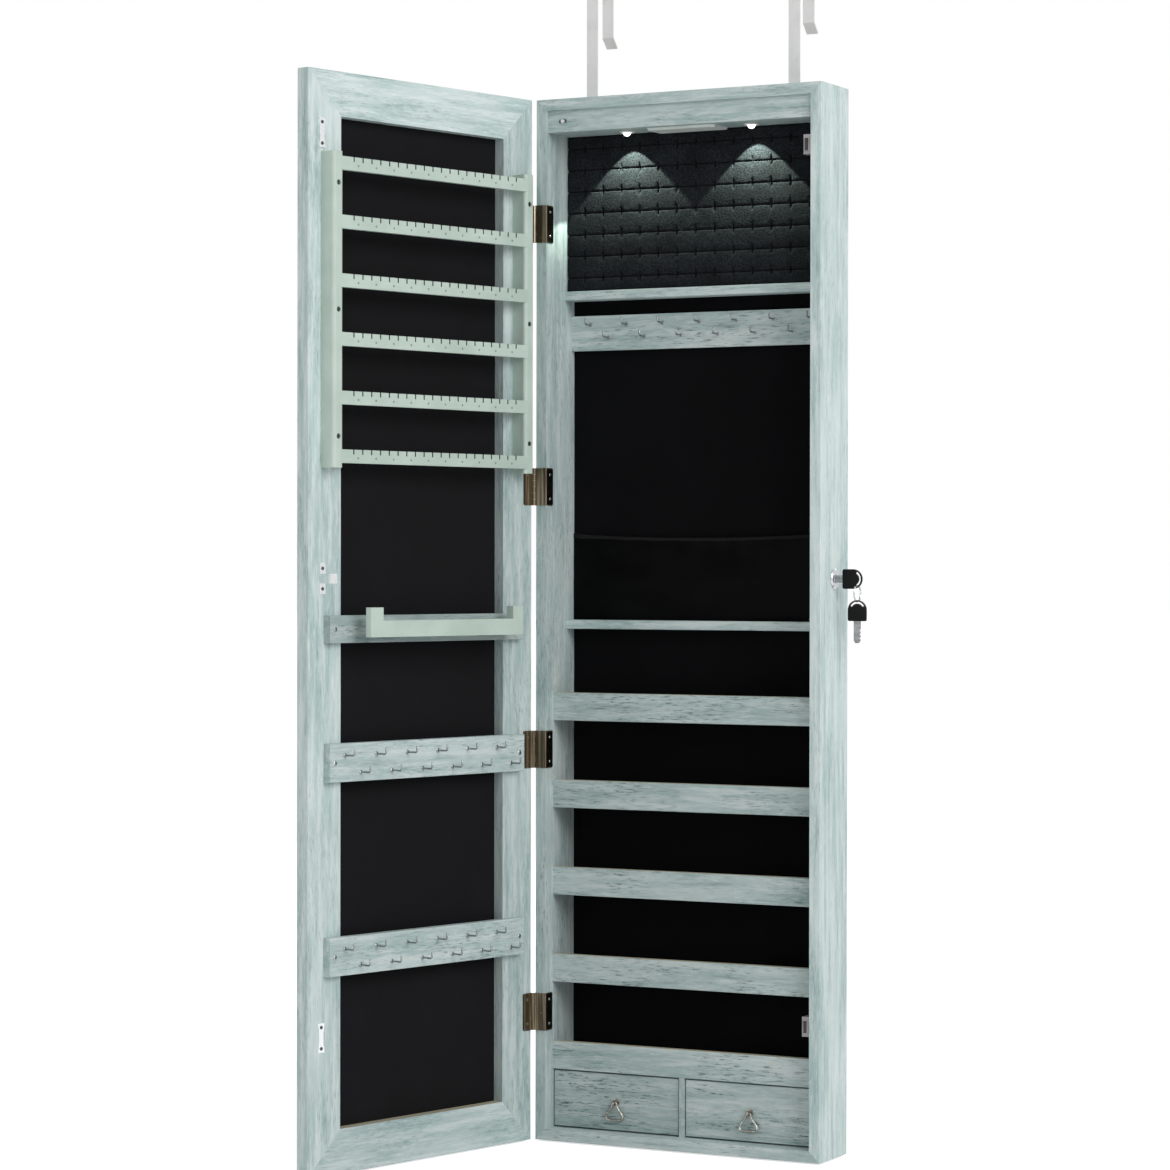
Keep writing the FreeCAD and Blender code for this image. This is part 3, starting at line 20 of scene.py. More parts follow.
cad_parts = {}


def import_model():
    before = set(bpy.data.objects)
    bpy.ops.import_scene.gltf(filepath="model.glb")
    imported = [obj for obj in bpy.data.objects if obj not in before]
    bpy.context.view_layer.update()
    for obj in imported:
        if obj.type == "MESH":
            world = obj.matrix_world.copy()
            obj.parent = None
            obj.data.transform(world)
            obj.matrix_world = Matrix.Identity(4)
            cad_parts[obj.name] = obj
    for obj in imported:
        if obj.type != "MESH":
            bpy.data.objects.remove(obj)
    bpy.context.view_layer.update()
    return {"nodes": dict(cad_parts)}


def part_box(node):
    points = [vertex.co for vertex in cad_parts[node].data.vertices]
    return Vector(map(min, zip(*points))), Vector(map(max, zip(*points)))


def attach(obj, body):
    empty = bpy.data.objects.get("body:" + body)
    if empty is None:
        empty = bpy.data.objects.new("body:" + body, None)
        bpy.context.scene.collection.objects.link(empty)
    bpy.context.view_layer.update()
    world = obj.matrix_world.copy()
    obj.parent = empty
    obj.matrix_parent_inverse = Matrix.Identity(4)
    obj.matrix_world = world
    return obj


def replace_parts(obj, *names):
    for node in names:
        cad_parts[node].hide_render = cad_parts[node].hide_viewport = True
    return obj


log = logging.getLogger("cabinet")

MM = 0.001
OPEN_TURN = math.radians(104)
PIN = Vector((-181.2, -77.0, 0.0)) * MM
DOOR_FRAME = Matrix.Translation(PIN) @ Matrix.Rotation(-OPEN_TURN, 4, "Z")
DOOR_MIDDLE = 181.2 * MM
HINGE_HEIGHTS = tuple((148.0 + 303.0 * index) * MM for index in range(4))
HINGE_HALF = 21.5 * MM
LEAF_FACE = -165.1 * MM
CATCH_HEIGHTS = (1131.0, 151.0)
FRONT = Vector((0, -1, 0))
REAR = Vector((0, 1, 0))

WELD = 1e-7

Point = Vector | tuple[float, float, float]
Colour = tuple[float, float, float, float]


def paint(red: int, green: int, blue: int) -> Colour:
    """A colour as it is read off a screen, for a shader.

    Args:
        red: Red, 0 to 255.
        green: Green, 0 to 255.
        blue: Blue, 0 to 255.

    Returns:
        The linear colour with full alpha.
    """

    def linear(level: int) -> float:
        """One channel without its display curve."""
        share = level / 255
        return share / 12.92 if share <= 0.04045 else ((share + 0.055) / 1.055) ** 2.4

    return (linear(red), linear(green), linear(blue), 1.0)


def in_door(point: Point) -> Vector:
    """A point of the door's frame, in the cabinet's frame."""
    return DOOR_FRAME @ Vector(point)


def door_way(direction: Point) -> Vector:
    """A direction of the door's frame, in the cabinet's frame."""
    return (DOOR_FRAME.to_3x3() @ Vector(direction)).normalized()


# ---------------------------------------------------------------------------------------------
# Node trees


class Term:
    """A socket of a node tree that takes part in arithmetic."""

    def __init__(self, graph: "Graph", socket: bpy.types.NodeSocket) -> None:
        """Wrap a socket.

        Args:
            graph: The tree that new nodes go into.
            socket: The output socket.
        """
        self.graph = graph
        self.socket = socket

    def _maths(self, operation: str, first: Any, second: Any) -> "Term":
        """A Math node on two values."""
        made = self.graph.add("ShaderNodeMath", {"operation": operation}, {0: first, 1: second})
        return Term(self.graph, made.outputs[0])

    def __add__(self, other: Any) -> "Term":
        """Sum."""
        return self._maths("ADD", self, other)

    def __radd__(self, other: Any) -> "Term":
        """Sum."""
        return self._maths("ADD", other, self)

    def __sub__(self, other: Any) -> "Term":
        """Difference."""
        return self._maths("SUBTRACT", self, other)

    def __rsub__(self, other: Any) -> "Term":
        """Difference, the other way round."""
        return self._maths("SUBTRACT", other, self)

    def __mul__(self, other: Any) -> "Term":
        """Product."""
        return self._maths("MULTIPLY", self, other)

    def __rmul__(self, other: Any) -> "Term":
        """Product."""
        return self._maths("MULTIPLY", other, self)

    def band(self, low: float, high: float) -> "Term":
        """A smooth rise from 0 at low to 1 at high."""
        made = self.graph.add(
            "ShaderNodeMapRange",
            {"interpolation_type": "SMOOTHSTEP"},
            {"Value": self, "From Min": low, "From Max": high},
        )
        return Term(self.graph, made.outputs[0])


class Graph:
    """Adds nodes to one tree, with their settings and what their sockets take."""

    def __init__(self, tree: bpy.types.NodeTree) -> None:
        """Start on a tree."""
        self.tree = tree

    def add(
        self,
        kind: str,
        settings: dict[str, Any] | None = None,
        sockets: dict[Any, Any] | None = None,
    ) -> bpy.types.Node:
        """A new node.

        Args:
            kind: The node's type.
            settings: Its properties, set before its sockets.
            sockets: Values, terms or sockets by socket name or index.

        Returns:
            The node.
        """
        made = self.tree.nodes.new(kind)
        for name, value in (settings or {}).items():
            setattr(made, name, value)
        for name, value in (sockets or {}).items():
            socket = made.inputs[name]
            if isinstance(value, Term):
                self.tree.links.new(value.socket, socket)
            elif isinstance(value, bpy.types.NodeSocket):
                self.tree.links.new(value, socket)
            else:
                socket.default_value = value
        return made

    def term(self, kind: str, output: Any = 0, **parts: Any) -> Term:
        """A new node's output as a term.

        Args:
            kind: The node's type.
            output: The output's name or index.
            **parts: What add() takes besides the type.

        Returns:
            The term.
        """
        return Term(self, self.add(kind, **parts).outputs[output])

    def mix(self, share: Any, first: Any, second: Any) -> Term:
        """A colour between two colours.

        Args:
            share: How much of the second colour, 0 to 1.
            first: The first colour or term.
            second: The second colour or term.

        Returns:
            The mixed colour.
        """
        sockets = {0: share, 6: first, 7: second}
        return self.term("ShaderNodeMix", 2, settings={"data_type": "RGBA"}, sockets=sockets)

    @classmethod
    def of(cls, owner: Any) -> "Graph":
        """The emptied tree of a material, a lamp or a world."""
        owner.use_nodes = True
        owner.node_tree.nodes.clear()
        return cls(owner.node_tree)

    def noise(self, where: Term, scale: float, detail: float = 4.0, rough: float = 0.55) -> Term:
        """A noise value.

        Args:
            where: The coordinates.
            scale: The noise's scale.
            detail: Its octaves.
            rough: How strong the fine octaves are.

        Returns:
            The value, about 0 to 1.
        """
        sockets = {"Vector": where, "Scale": scale, "Detail": detail, "Roughness": rough}
        return self.term("ShaderNodeTexNoise", 0, sockets=sockets)


class Run(Enum):
    """The way that grain or brushing runs, as a turn about X, Y and Z that lays it along X."""

    UPRIGHT = (0.0, math.pi / 2, 0.0)
    ACROSS = (0.0, 0.0, 0.0)
    INWARD = (0.0, 0.0, math.pi / 2)
    DOOR_ACROSS = (0.0, 0.0, OPEN_TURN)


class Finish:
    """A material: subclasses say what its surface does."""

    name: str

    def surface(self, graph: Graph) -> dict[str, Any]:
        """The Principled shader's sockets, by name."""
        raise NotImplementedError

    def coordinates(
        self, graph: Graph, run: Run, stretch: Point = (1, 1, 1), shift: float = 0.0
    ) -> Term:
        """Object coordinates turned so that the run lies along X.

        Args:
            graph: The material's tree.
            run: The way that the pattern runs.
            stretch: Scale along the run and across it.
            shift: A shift of the whole pattern.

        Returns:
            The coordinates.
        """
        place = graph.add("ShaderNodeTexCoord").outputs["Object"]
        turned = graph.term(
            "ShaderNodeMapping",
            settings={"vector_type": "POINT"},
            sockets={"Vector": place, "Rotation": run.value, "Location": (shift, shift, shift)},
        )
        return graph.term("ShaderNodeMapping", sockets={"Vector": turned, "Scale": stretch})

    def grain(
        self,
        graph: Graph,
        run: Run,
        stretch: Point,
        detail: float = 4.0,
        rough: float = 0.55,
        shift: float = 0.0,
    ) -> Term:
        """Noise that is drawn out along a run.

        Args:
            graph: The material's tree.
            run: The way that the pattern runs.
            stretch: Scale along the run and across it.
            detail: The noise's octaves.
            rough: How strong the fine octaves are.
            shift: A shift of the whole pattern.

        Returns:
            The value, about 0 to 1.
        """
        return graph.noise(self.coordinates(graph, run, stretch, shift), 1.0, detail, rough)

    def bump(self, graph: Graph, height: Any, strength: float, depth: float) -> Term:
        """A normal from a height.

        Args:
            graph: The material's tree.
            height: The height term.
            strength: The bump's strength.
            depth: The bump's distance in metres.

        Returns:
            The normal.
        """
        return graph.term(
            "ShaderNodeBump",
            sockets={"Strength": strength, "Distance": depth, "Height": height},
        )

    def facing(self, graph: Graph, way: Point) -> Term:
        """1 on faces that look a given way, otherwise 0.

        Args:
            graph: The material's tree.
            way: The direction.

        Returns:
            The value.
        """
        normal = graph.add("ShaderNodeTexCoord").outputs["Normal"]
        settings = {"operation": "DOT_PRODUCT"}
        dot = graph.term("ShaderNodeVectorMath", 1, settings=settings, sockets={0: normal, 1: way})
        return dot.band(0.8, 0.95)

    def make(self) -> bpy.types.Material:
        """Build the material."""
        made = bpy.data.materials.new(self.name)
        graph = Graph.of(made)
        shader = graph.add("ShaderNodeBsdfPrincipled", sockets=self.surface(graph))
        graph.add("ShaderNodeOutputMaterial", sockets={"Surface": shader.outputs[0]})
        return made


@dataclass(frozen=True)
class Side:
    """Another colour on those faces of a board that look one way."""

    way: tuple[float, float, float]
    colour: Colour
    share: float


@dataclass(frozen=True)
class WashedWood(Finish):
    """Pale blue-grey paint brushed thinly over rough-sawn board, rubbed back along the grain."""

    name: str
    run: Run
    shift: float = 0.0
    # Painted light and shade: the whole wash is made lighter on lit boards and darker on shaded
    # ones.
    light: float = 1.0
    worn: float = 0.5
    sides: tuple[Side, ...] = ()

    def surface(self, graph: Graph) -> dict[str, Any]:
        """Cloudy wash, streaks, clustered dark flecks and dry-brushed light along the run."""
        run, shift = self.run, self.shift
        cloud = self.grain(graph, run, (5, 24, 24), 4, 0.6, shift)
        streak = self.grain(graph, run, (11, 130, 130), 5, 0.62, shift + 2)
        fleck = self.grain(graph, run, (75, 620, 620), 4, 0.7, shift + 5)
        patch = self.grain(graph, run, (9, 36, 36), 3, 0.6, shift + 8)
        body = graph.mix(cloud.band(0.38, 0.62), self.tone(174, 195, 194), self.tone(197, 213, 211))
        body = graph.mix(streak.band(0.46, 0.66) * 0.7, body, self.tone(219, 228, 227))
        body = graph.mix((1 - streak).band(0.54, 0.7) * 0.55, body, self.tone(138, 163, 162))
        light = (1 - fleck).band(0.52, 0.66) * 0.4
        body = graph.mix(light, body, self.tone(228, 235, 234))
        dark = fleck.band(0.53, 0.66) * (patch.band(0.42, 0.62) * 0.85 + 0.15)
        body = graph.mix(dark * self.worn, body, self.tone(88, 108, 111))
        for side in self.sides:
            faced = self.facing(graph, side.way) * side.share
            body = graph.mix(faced * (0.75 + 0.5 * streak), body, side.colour)
        height = streak * 0.5 + fleck * 0.35 - dark * 0.8
        return {
            "Base Color": body,
            "Roughness": 0.58 + 0.18 * fleck + 0.1 * cloud,
            "Specular IOR Level": 0.3,
            "Normal": self.bump(graph, height, 0.4, 0.0007),
        }

    def tone(self, red: int, green: int, blue: int) -> Colour:
        """A colour of the wash at this board's lightness, which is painted light or shade."""
        made = paint(red, green, blue)
        return (made[0] * self.light, made[1] * self.light, made[2] * self.light, 1.0)


@dataclass(frozen=True)
class SagePaint(Finish):
    """Even pale sage paint of the rack and the bracelet bar."""

    name: str = "sage_paint"
    run: Run = Run.DOOR_ACROSS
    # Painted shade: when set, faces that look along the door's width, the notch walls, are painted
    # near-black.
    notch_shade: bool = False

    def surface(self, graph: Graph) -> dict[str, Any]:
        """Faint brush marks, soft mottling and, on the rungs, painted shade on the notch walls."""
        brush = self.grain(graph, self.run, (14, 170, 170))
        cloud = graph.noise(self.coordinates(graph, self.run, (9, 9, 9)), 2.0, 3)
        body = graph.mix(cloud.band(0.3, 0.7), paint(184, 201, 190), paint(196, 212, 202))
        body = graph.mix(brush.band(0.55, 0.8) * 0.35, body, paint(214, 227, 216))
        # Painted shade: the notch walls and rung ends, which look along the door's width, are
        # darkened as if in shade.
        if self.notch_shade:
            for way in (door_way((1, 0, 0)), door_way((-1, 0, 0))):
                body = graph.mix(self.facing(graph, way) * 0.85, body, paint(58, 64, 60))
        return {
            "Base Color": body,
            "Roughness": 0.44 + 0.16 * brush,
            "Normal": self.bump(graph, brush, 0.22, 0.0003),
        }


@dataclass(frozen=True)
class BlackNap(Finish):
    """Short black nap of the linings."""

    name: str = "black_nap"
    level: int = 18

    def surface(self, graph: Graph) -> dict[str, Any]:
        """Fine fibres over faint clouds where the nap is stroked."""
        place = self.coordinates(graph, Run.ACROSS)
        fibre = graph.noise(place, 1500, 3, 0.7)
        cloud = graph.noise(place, 9, 3)
        low, high = max(self.level - 6, 0), self.level + 7
        body = graph.mix(fibre, paint(low, low, low + 1), paint(high, high, high + 2))
        body = graph.mix(cloud.band(0.4, 0.75) * 0.35, body, paint(high, high, high + 3))
        return {
            "Base Color": body,
            "Roughness": 0.88 + 0.1 * fibre,
            "Specular IOR Level": 0.04,
            "Normal": self.bump(graph, fibre, 0.4, 0.0004),
        }


@dataclass(frozen=True)
class Foam(Finish):
    """Flocked dark foam of the ring cushion."""

    name: str = "flocked_foam"

    def surface(self, graph: Graph) -> dict[str, Any]:
        """A pitted surface with painted shade in the pits, under soft dark clouds."""
        place = self.coordinates(graph, Run.ACROSS)
        pits = graph.term(
            "ShaderNodeTexVoronoi", 0, sockets={"Vector": place, "Scale": 560.0, "Randomness": 1.0}
        )
        cloud = graph.noise(place, 26, 4)
        # Painted shade: the pits are painted darker than their rims.
        body = graph.mix(pits.band(0.1, 0.7), paint(9, 11, 13), paint(37, 41, 44))
        body = graph.mix(cloud.band(0.35, 0.7) * 0.5, body, paint(11, 13, 15))
        return {
            "Base Color": body,
            "Roughness": 0.9 + 0.08 * cloud,
            "Specular IOR Level": 0.06,
            "Sheen Weight": 0.04,
            "Sheen Roughness": 0.5,
            "Normal": self.bump(graph, pits + cloud * 0.5, 0.42, 0.0007),
        }


@dataclass(frozen=True)
class Satin(Finish):
    """Smooth black satin of the necklace pouch, with soft creases along its own length."""

    name: str = "black_satin"

    def surface(self, graph: Graph) -> dict[str, Any]:
        """A fine twill and slanting pulls in the cloth."""
        twill = graph.term(
            "ShaderNodeTexWave",
            1,
            settings={"wave_type": "BANDS", "bands_direction": "DIAGONAL"},
            sockets={
                "Vector": self.coordinates(graph, Run.ACROSS),
                "Scale": 900.0,
                "Distortion": 0.4,
            },
        )
        pull = graph.noise(self.coordinates(graph, Run.ACROSS, (9, 9, 30)), 1.4, 3)
        return {
            "Base Color": graph.mix(pull.band(0.3, 0.7), paint(2, 2, 2), paint(7, 7, 8)),
            "Roughness": 0.36 + 0.2 * pull,
            "Specular IOR Level": 0.05,
            "Normal": self.bump(graph, twill * 0.12 + pull, 0.3, 0.0012),
        }


@dataclass(frozen=True)
class Metal(Finish):
    """A plated metal with fine brushing, dull spots, worn bright places and painted highlight
    streaks.
    """

    name: str
    base: Colour
    worn: Colour
    rough: float
    wear: float = 0.6
    run: Run = Run.ACROSS
    # Painted highlight: how strongly the streaks of bright reflection are painted in.
    painted_sheen: float = 0.3

    def surface(self, graph: Graph) -> dict[str, Any]:
        """Plating that is worn through in places, with painted highlight streaks along the run in
        the worn colour.
        """
        brush = self.grain(graph, self.run, (60, 1400, 1400), 3)
        spots = graph.noise(self.coordinates(graph, self.run, (1, 1, 1)), 240, 5, 0.65)
        painted_sheen = self.grain(graph, self.run, (9, 330, 330), 2)
        body = graph.mix(spots.band(self.wear, self.wear + 0.14) * 0.8, self.base, self.worn)
        # Painted highlight: long soft streaks of the worn colour stand in for bright reflections
        # along the run.
        body = graph.mix(painted_sheen.band(0.44, 0.66) * self.painted_sheen, body, self.worn)
        return {
            "Base Color": graph.mix(brush * 0.18, body, self.worn),
            "Metallic": 1.0,
            "Roughness": self.rough + 0.12 * spots + 0.06 * brush,
            "Normal": self.bump(graph, brush * 0.5 + spots * 0.5, 0.16, 0.0001),
        }


@dataclass(frozen=True)
class Coat(Finish):
    """Powder coat, moulded plastic or another even skin, with a fine orange-peel."""

    name: str
    base: Colour
    dulled: Colour
    rough: float
    peel: float = 900.0
    glow: float = 0.0
    shine: float = 0.4

    def surface(self, graph: Graph) -> dict[str, Any]:
        """Two close colours and a fine pebbled bump."""
        place = self.coordinates(graph, Run.ACROSS)
        peel = graph.noise(place, self.peel, 3)
        cloud = graph.noise(place, 40, 4)
        body = graph.mix(cloud.band(0.4, 0.75), self.base, self.dulled)
        sockets = {
            "Base Color": body,
            "Roughness": self.rough + 0.12 * cloud,
            "Specular IOR Level": self.shine,
            "Normal": self.bump(graph, peel, 0.18, 0.0002),
        }
        if self.glow:
            sockets["Emission Color"] = body
            sockets["Emission Strength"] = self.glow
        return sockets


@dataclass(frozen=True)
class Silvering(Finish):
    """Silvered glass of the mirror."""

    name: str = "silvered_glass"

    def surface(self, graph: Graph) -> dict[str, Any]:
        """Near-perfect reflection, a breath of haze and a faint waviness."""
        haze = graph.noise(self.coordinates(graph, Run.ACROSS), 7, 5, 0.6)
        return {
            "Base Color": graph.mix(haze, paint(226, 232, 234), paint(236, 241, 242)),
            "Metallic": 1.0,
            "Roughness": 0.015 + 0.02 * haze.band(0.5, 0.8),
            "Normal": self.bump(graph, haze, 0.02, 0.0005),
            "Coat Weight": 0.3,
            "Coat Roughness": 0.02,
        }


@dataclass(frozen=True)
class Hardboard(Finish):
    """Brown hardboard of the back, with its pressed screen pattern."""

    name: str = "hardboard"

    def surface(self, graph: Graph) -> dict[str, Any]:
        """Long fibres and a fine pressed mesh."""
        place = self.coordinates(graph, Run.ACROSS)
        fibre = self.grain(graph, Run.ACROSS, (300, 300, 900), 5, 0.7)
        mesh = graph.term("ShaderNodeTexVoronoi", 0, sockets={"Vector": place, "Scale": 700.0})
        body = graph.mix(fibre.band(0.3, 0.7), paint(112, 84, 60), paint(146, 114, 84))
        return {
            "Base Color": graph.mix(mesh.band(0.2, 0.8) * 0.3, body, paint(92, 68, 48)),
            "Roughness": 0.72 + 0.16 * fibre,
            "Normal": self.bump(graph, mesh + fibre * 0.4, 0.35, 0.0004),
        }


@dataclass(frozen=True)
class Shade(Finish):
    """Painted shade: near-black standing in for the shadowed inside of a hole, with a little dust.
    """

    name: str = "hole_shade"

    def surface(self, graph: Graph) -> dict[str, Any]:
        """Near-black painted shade with faint dust."""
        dust = graph.noise(self.coordinates(graph, Run.ACROSS), 1200, 3)
        return {
            "Base Color": graph.mix(dust.band(0.45, 0.8), paint(26, 27, 26), paint(48, 50, 47)),
            "Roughness": 0.8 + 0.15 * dust,
        }


class Finishes:
    """Every finish of the cabinet, made once."""

    def __init__(self) -> None:
        """Build the materials."""
        upright = Run.UPRIGHT
        self.sage = SagePaint().make()
        # The rungs' paint, with painted shade on the notch walls.
        self.notch_shade = SagePaint("sage_paint_notched", notch_shade=True).make()
        self.sage_upright = SagePaint("sage_paint_upright", upright).make()
        self.nap = BlackNap("black_nap", 27).make()
        # Painted shade: the case's back lining gets a darker copy of the same nap, for the shade
        # inside the case.
        self.shaded_nap = BlackNap("shaded_black_nap", 14).make()
        self.black_board = BlackNap("black_faced_board", 14).make()
        self.foam = Foam().make()
        self.satin = Satin().make()
        shades = (paint(88, 78, 62), paint(196, 182, 158))
        self.bronze = Metal("antique_bronze", *shades, 0.3, 0.62, upright, 0.75).make()
        shades = (paint(34, 33, 31), paint(92, 86, 74))
        self.black_leaf = Metal("dark_leaf_plate", *shades, 0.38, 0.62).make()
        shades = (paint(138, 134, 126), paint(222, 219, 211))
        self.nickel = Metal("antique_nickel", *shades, 0.2, 0.52).make()
        shades = (paint(132, 135, 136), paint(208, 211, 212))
        self.wire = Metal("bright_wire", *shades, 0.22, 0.58).make()
        shades = (paint(140, 146, 147), paint(232, 236, 236))
        self.zinc = Metal("zinc_plate", *shades, 0.22, 0.6, upright, 0.6).make()
        shades = (paint(226, 229, 230), paint(250, 250, 250))
        self.polished = Metal("polished_plate", *shades, 0.12, 0.6).make()
        shades = (paint(150, 145, 148), paint(176, 172, 174))
        self.catch = Coat("catch_zinc", *shades, 0.32, shine=0.5).make()
        shades = (paint(190, 193, 196), paint(240, 241, 241))
        self.chrome = Metal("polished_chrome", *shades, 0.1, 0.7).make()
        shades = (paint(70, 74, 73), paint(122, 127, 126))
        self.screw = Metal("screw_steel", *shades, 0.34, 0.58).make()
        shades = (paint(228, 228, 227), paint(216, 216, 215))
        self.strap = Coat("strap_coat", *shades, 0.4).make()
        shades = (paint(9, 9, 10), paint(17, 17, 19))
        self.bow = Coat("black_bow", *shades, 0.42, 700, shine=0.15).make()
        shades = (paint(232, 233, 230), paint(214, 216, 212))
        self.lamp = Coat("lamp_plastic", *shades, 0.3).make()
        shades = (paint(246, 255, 238), paint(236, 250, 226))
        self.lens = Coat("lamp_glow", *shades, 0.2, 900, 3.0).make()
        shades = (paint(226, 233, 229), paint(212, 221, 216))
        self.cover = Coat("cover_plastic", *shades, 0.42, 1100).make()
        shades = (paint(232, 234, 234), paint(214, 217, 217))
        self.knob = Coat("white_knob", *shades, 0.36).make()
        shades = (paint(46, 45, 44), paint(70, 68, 65))
        self.magnet = Coat("dark_magnet", *shades, 0.55, 500).make()
        self.elastic = BlackNap("elastic_binding", 30).make()
        self.mirror = Silvering().make()
        self.hardboard = Hardboard().make()
        # Painted shade for the insides of the rack's stud holes.
        self.hole = Shade().make()


# ---------------------------------------------------------------------------------------------
# Meshes


def stand(name: str, data: bpy.types.ID) -> bpy.types.Object:
    """A new object in the scene, at the origin.

    Args:
        name: The object's name.
        data: Its mesh, lamp or camera.

    Returns:
        The object.
    """
    made = bpy.data.objects.new(name, data)
    bpy.context.scene.collection.objects.link(made)
    return made


def mesh_object(
    name: str, build: bmesh.types.BMesh, finish: bpy.types.Material
) -> bpy.types.Object:
    """An object at the origin that holds a mesh, its faces turned outwards.

    Args:
        name: The piece's name.
        build: The mesh, in the cabinet's frame. It is freed.
        finish: Its material.

    Returns:
        The object, in the scene.
    """
    bmesh.ops.remove_doubles(build, verts=build.verts, dist=WELD)
    bmesh.ops.recalc_face_normals(build, faces=build.faces)
    mesh = bpy.data.meshes.new(name)
    build.to_mesh(mesh)
    build.free()
    made = stand(name, mesh)
    made.data.materials.append(finish)
    return made


def smooth(piece: bpy.types.Object, angle: float = 40.0) -> None:
    """Shade a piece smooth, with edges sharper than an angle left crisp.

    Args:
        piece: The piece.
        angle: The angle in degrees.
    """
    build = bmesh.new()
    build.from_mesh(piece.data)
    for face in build.faces:
        face.smooth = True
    limit = math.radians(angle)
    for edge in build.edges:
        edge.smooth = len(edge.link_faces) == 2 and edge.calc_face_angle(0) < limit
    build.to_mesh(piece.data)
    build.free()


def settle(piece: bpy.types.Object, body: str) -> bpy.types.Object:
    """Make a piece ride on a body.

    Args:
        piece: The finished piece.
        body: The CAD body.

    Returns:
        The piece.
    """
    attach(piece, body)
    log.info("%s rides on %s", piece.name, body)
    return piece


def join(
    build: bmesh.types.BMesh,
    lower: Sequence[bmesh.types.BMVert],
    upper: Sequence[bmesh.types.BMVert],
    closed: bool = True,
) -> None:
    """A band of faces between two rows of points.

    Args:
        build: The mesh to add to.
        lower: One row.
        upper: The other row, as long.
        closed: Whether the band runs round to its start.
    """
    count = len(lower)
    for index in range(count if closed else count - 1):
        after = (index + 1) % count
        build.faces.new((lower[index], lower[after], upper[after], upper[index]))


def lathe(build: bmesh.types.BMesh, profile: Sequence[tuple[float, float]], sides: int) -> None:
    """Turn a profile about Z and close its two ends.

    Args:
        build: The mesh to add to.
        profile: Radius and height, from the foot to the top.
        sides: How many sides the turned shape has.
    """
    rows = []
    for radius, height in profile:
        row = []
        for index in range(sides):
            turn = math.tau * index / sides
            row.append(build.verts.new((radius * math.cos(turn), radius * math.sin(turn), height)))
        rows.append(row)
    for lower, upper in zip(rows, rows[1:]):
        join(build, lower, upper)
    build.faces.new(rows[0])
    build.faces.new(rows[-1])


def block(build: bmesh.types.BMesh, low: Point, high: Point, bevel: float) -> None:
    """A bevelled block between two corners.

    Args:
        build: The mesh to add to.
        low: The low corner.
        high: The high corner.
        bevel: The width of its bevels.
    """
    low, high = Vector(low), Vector(high)
    made = bmesh.ops.create_cube(build, size=1.0)["verts"]
    span = high - low
    for vertex in made:
        vertex.co = Vector(a * b for a, b in zip(vertex.co, span)) + (low + high) / 2
    edges = {edge for vertex in made for edge in vertex.link_edges}
    bmesh.ops.bevel(build, geom=list(edges), offset=bevel, segments=2, affect="EDGES")


@dataclass(frozen=True)
class Place:
    """Where one copy of a repeated thing stands, and the way that its own Z axis faces."""

    at: Vector
    facing: Vector


def on_door(spots: Sequence[tuple[float, float, float]]) -> list[Place]:
    """Places on the door's inner side.

    Args:
        spots: Points of the door's frame, in millimetres.

    Returns:
        The places, facing out of the door's inner side.
    """
    way = door_way((0, 1, 0))
    return [Place(in_door(Vector(spot) * MM), way) for spot in spots]


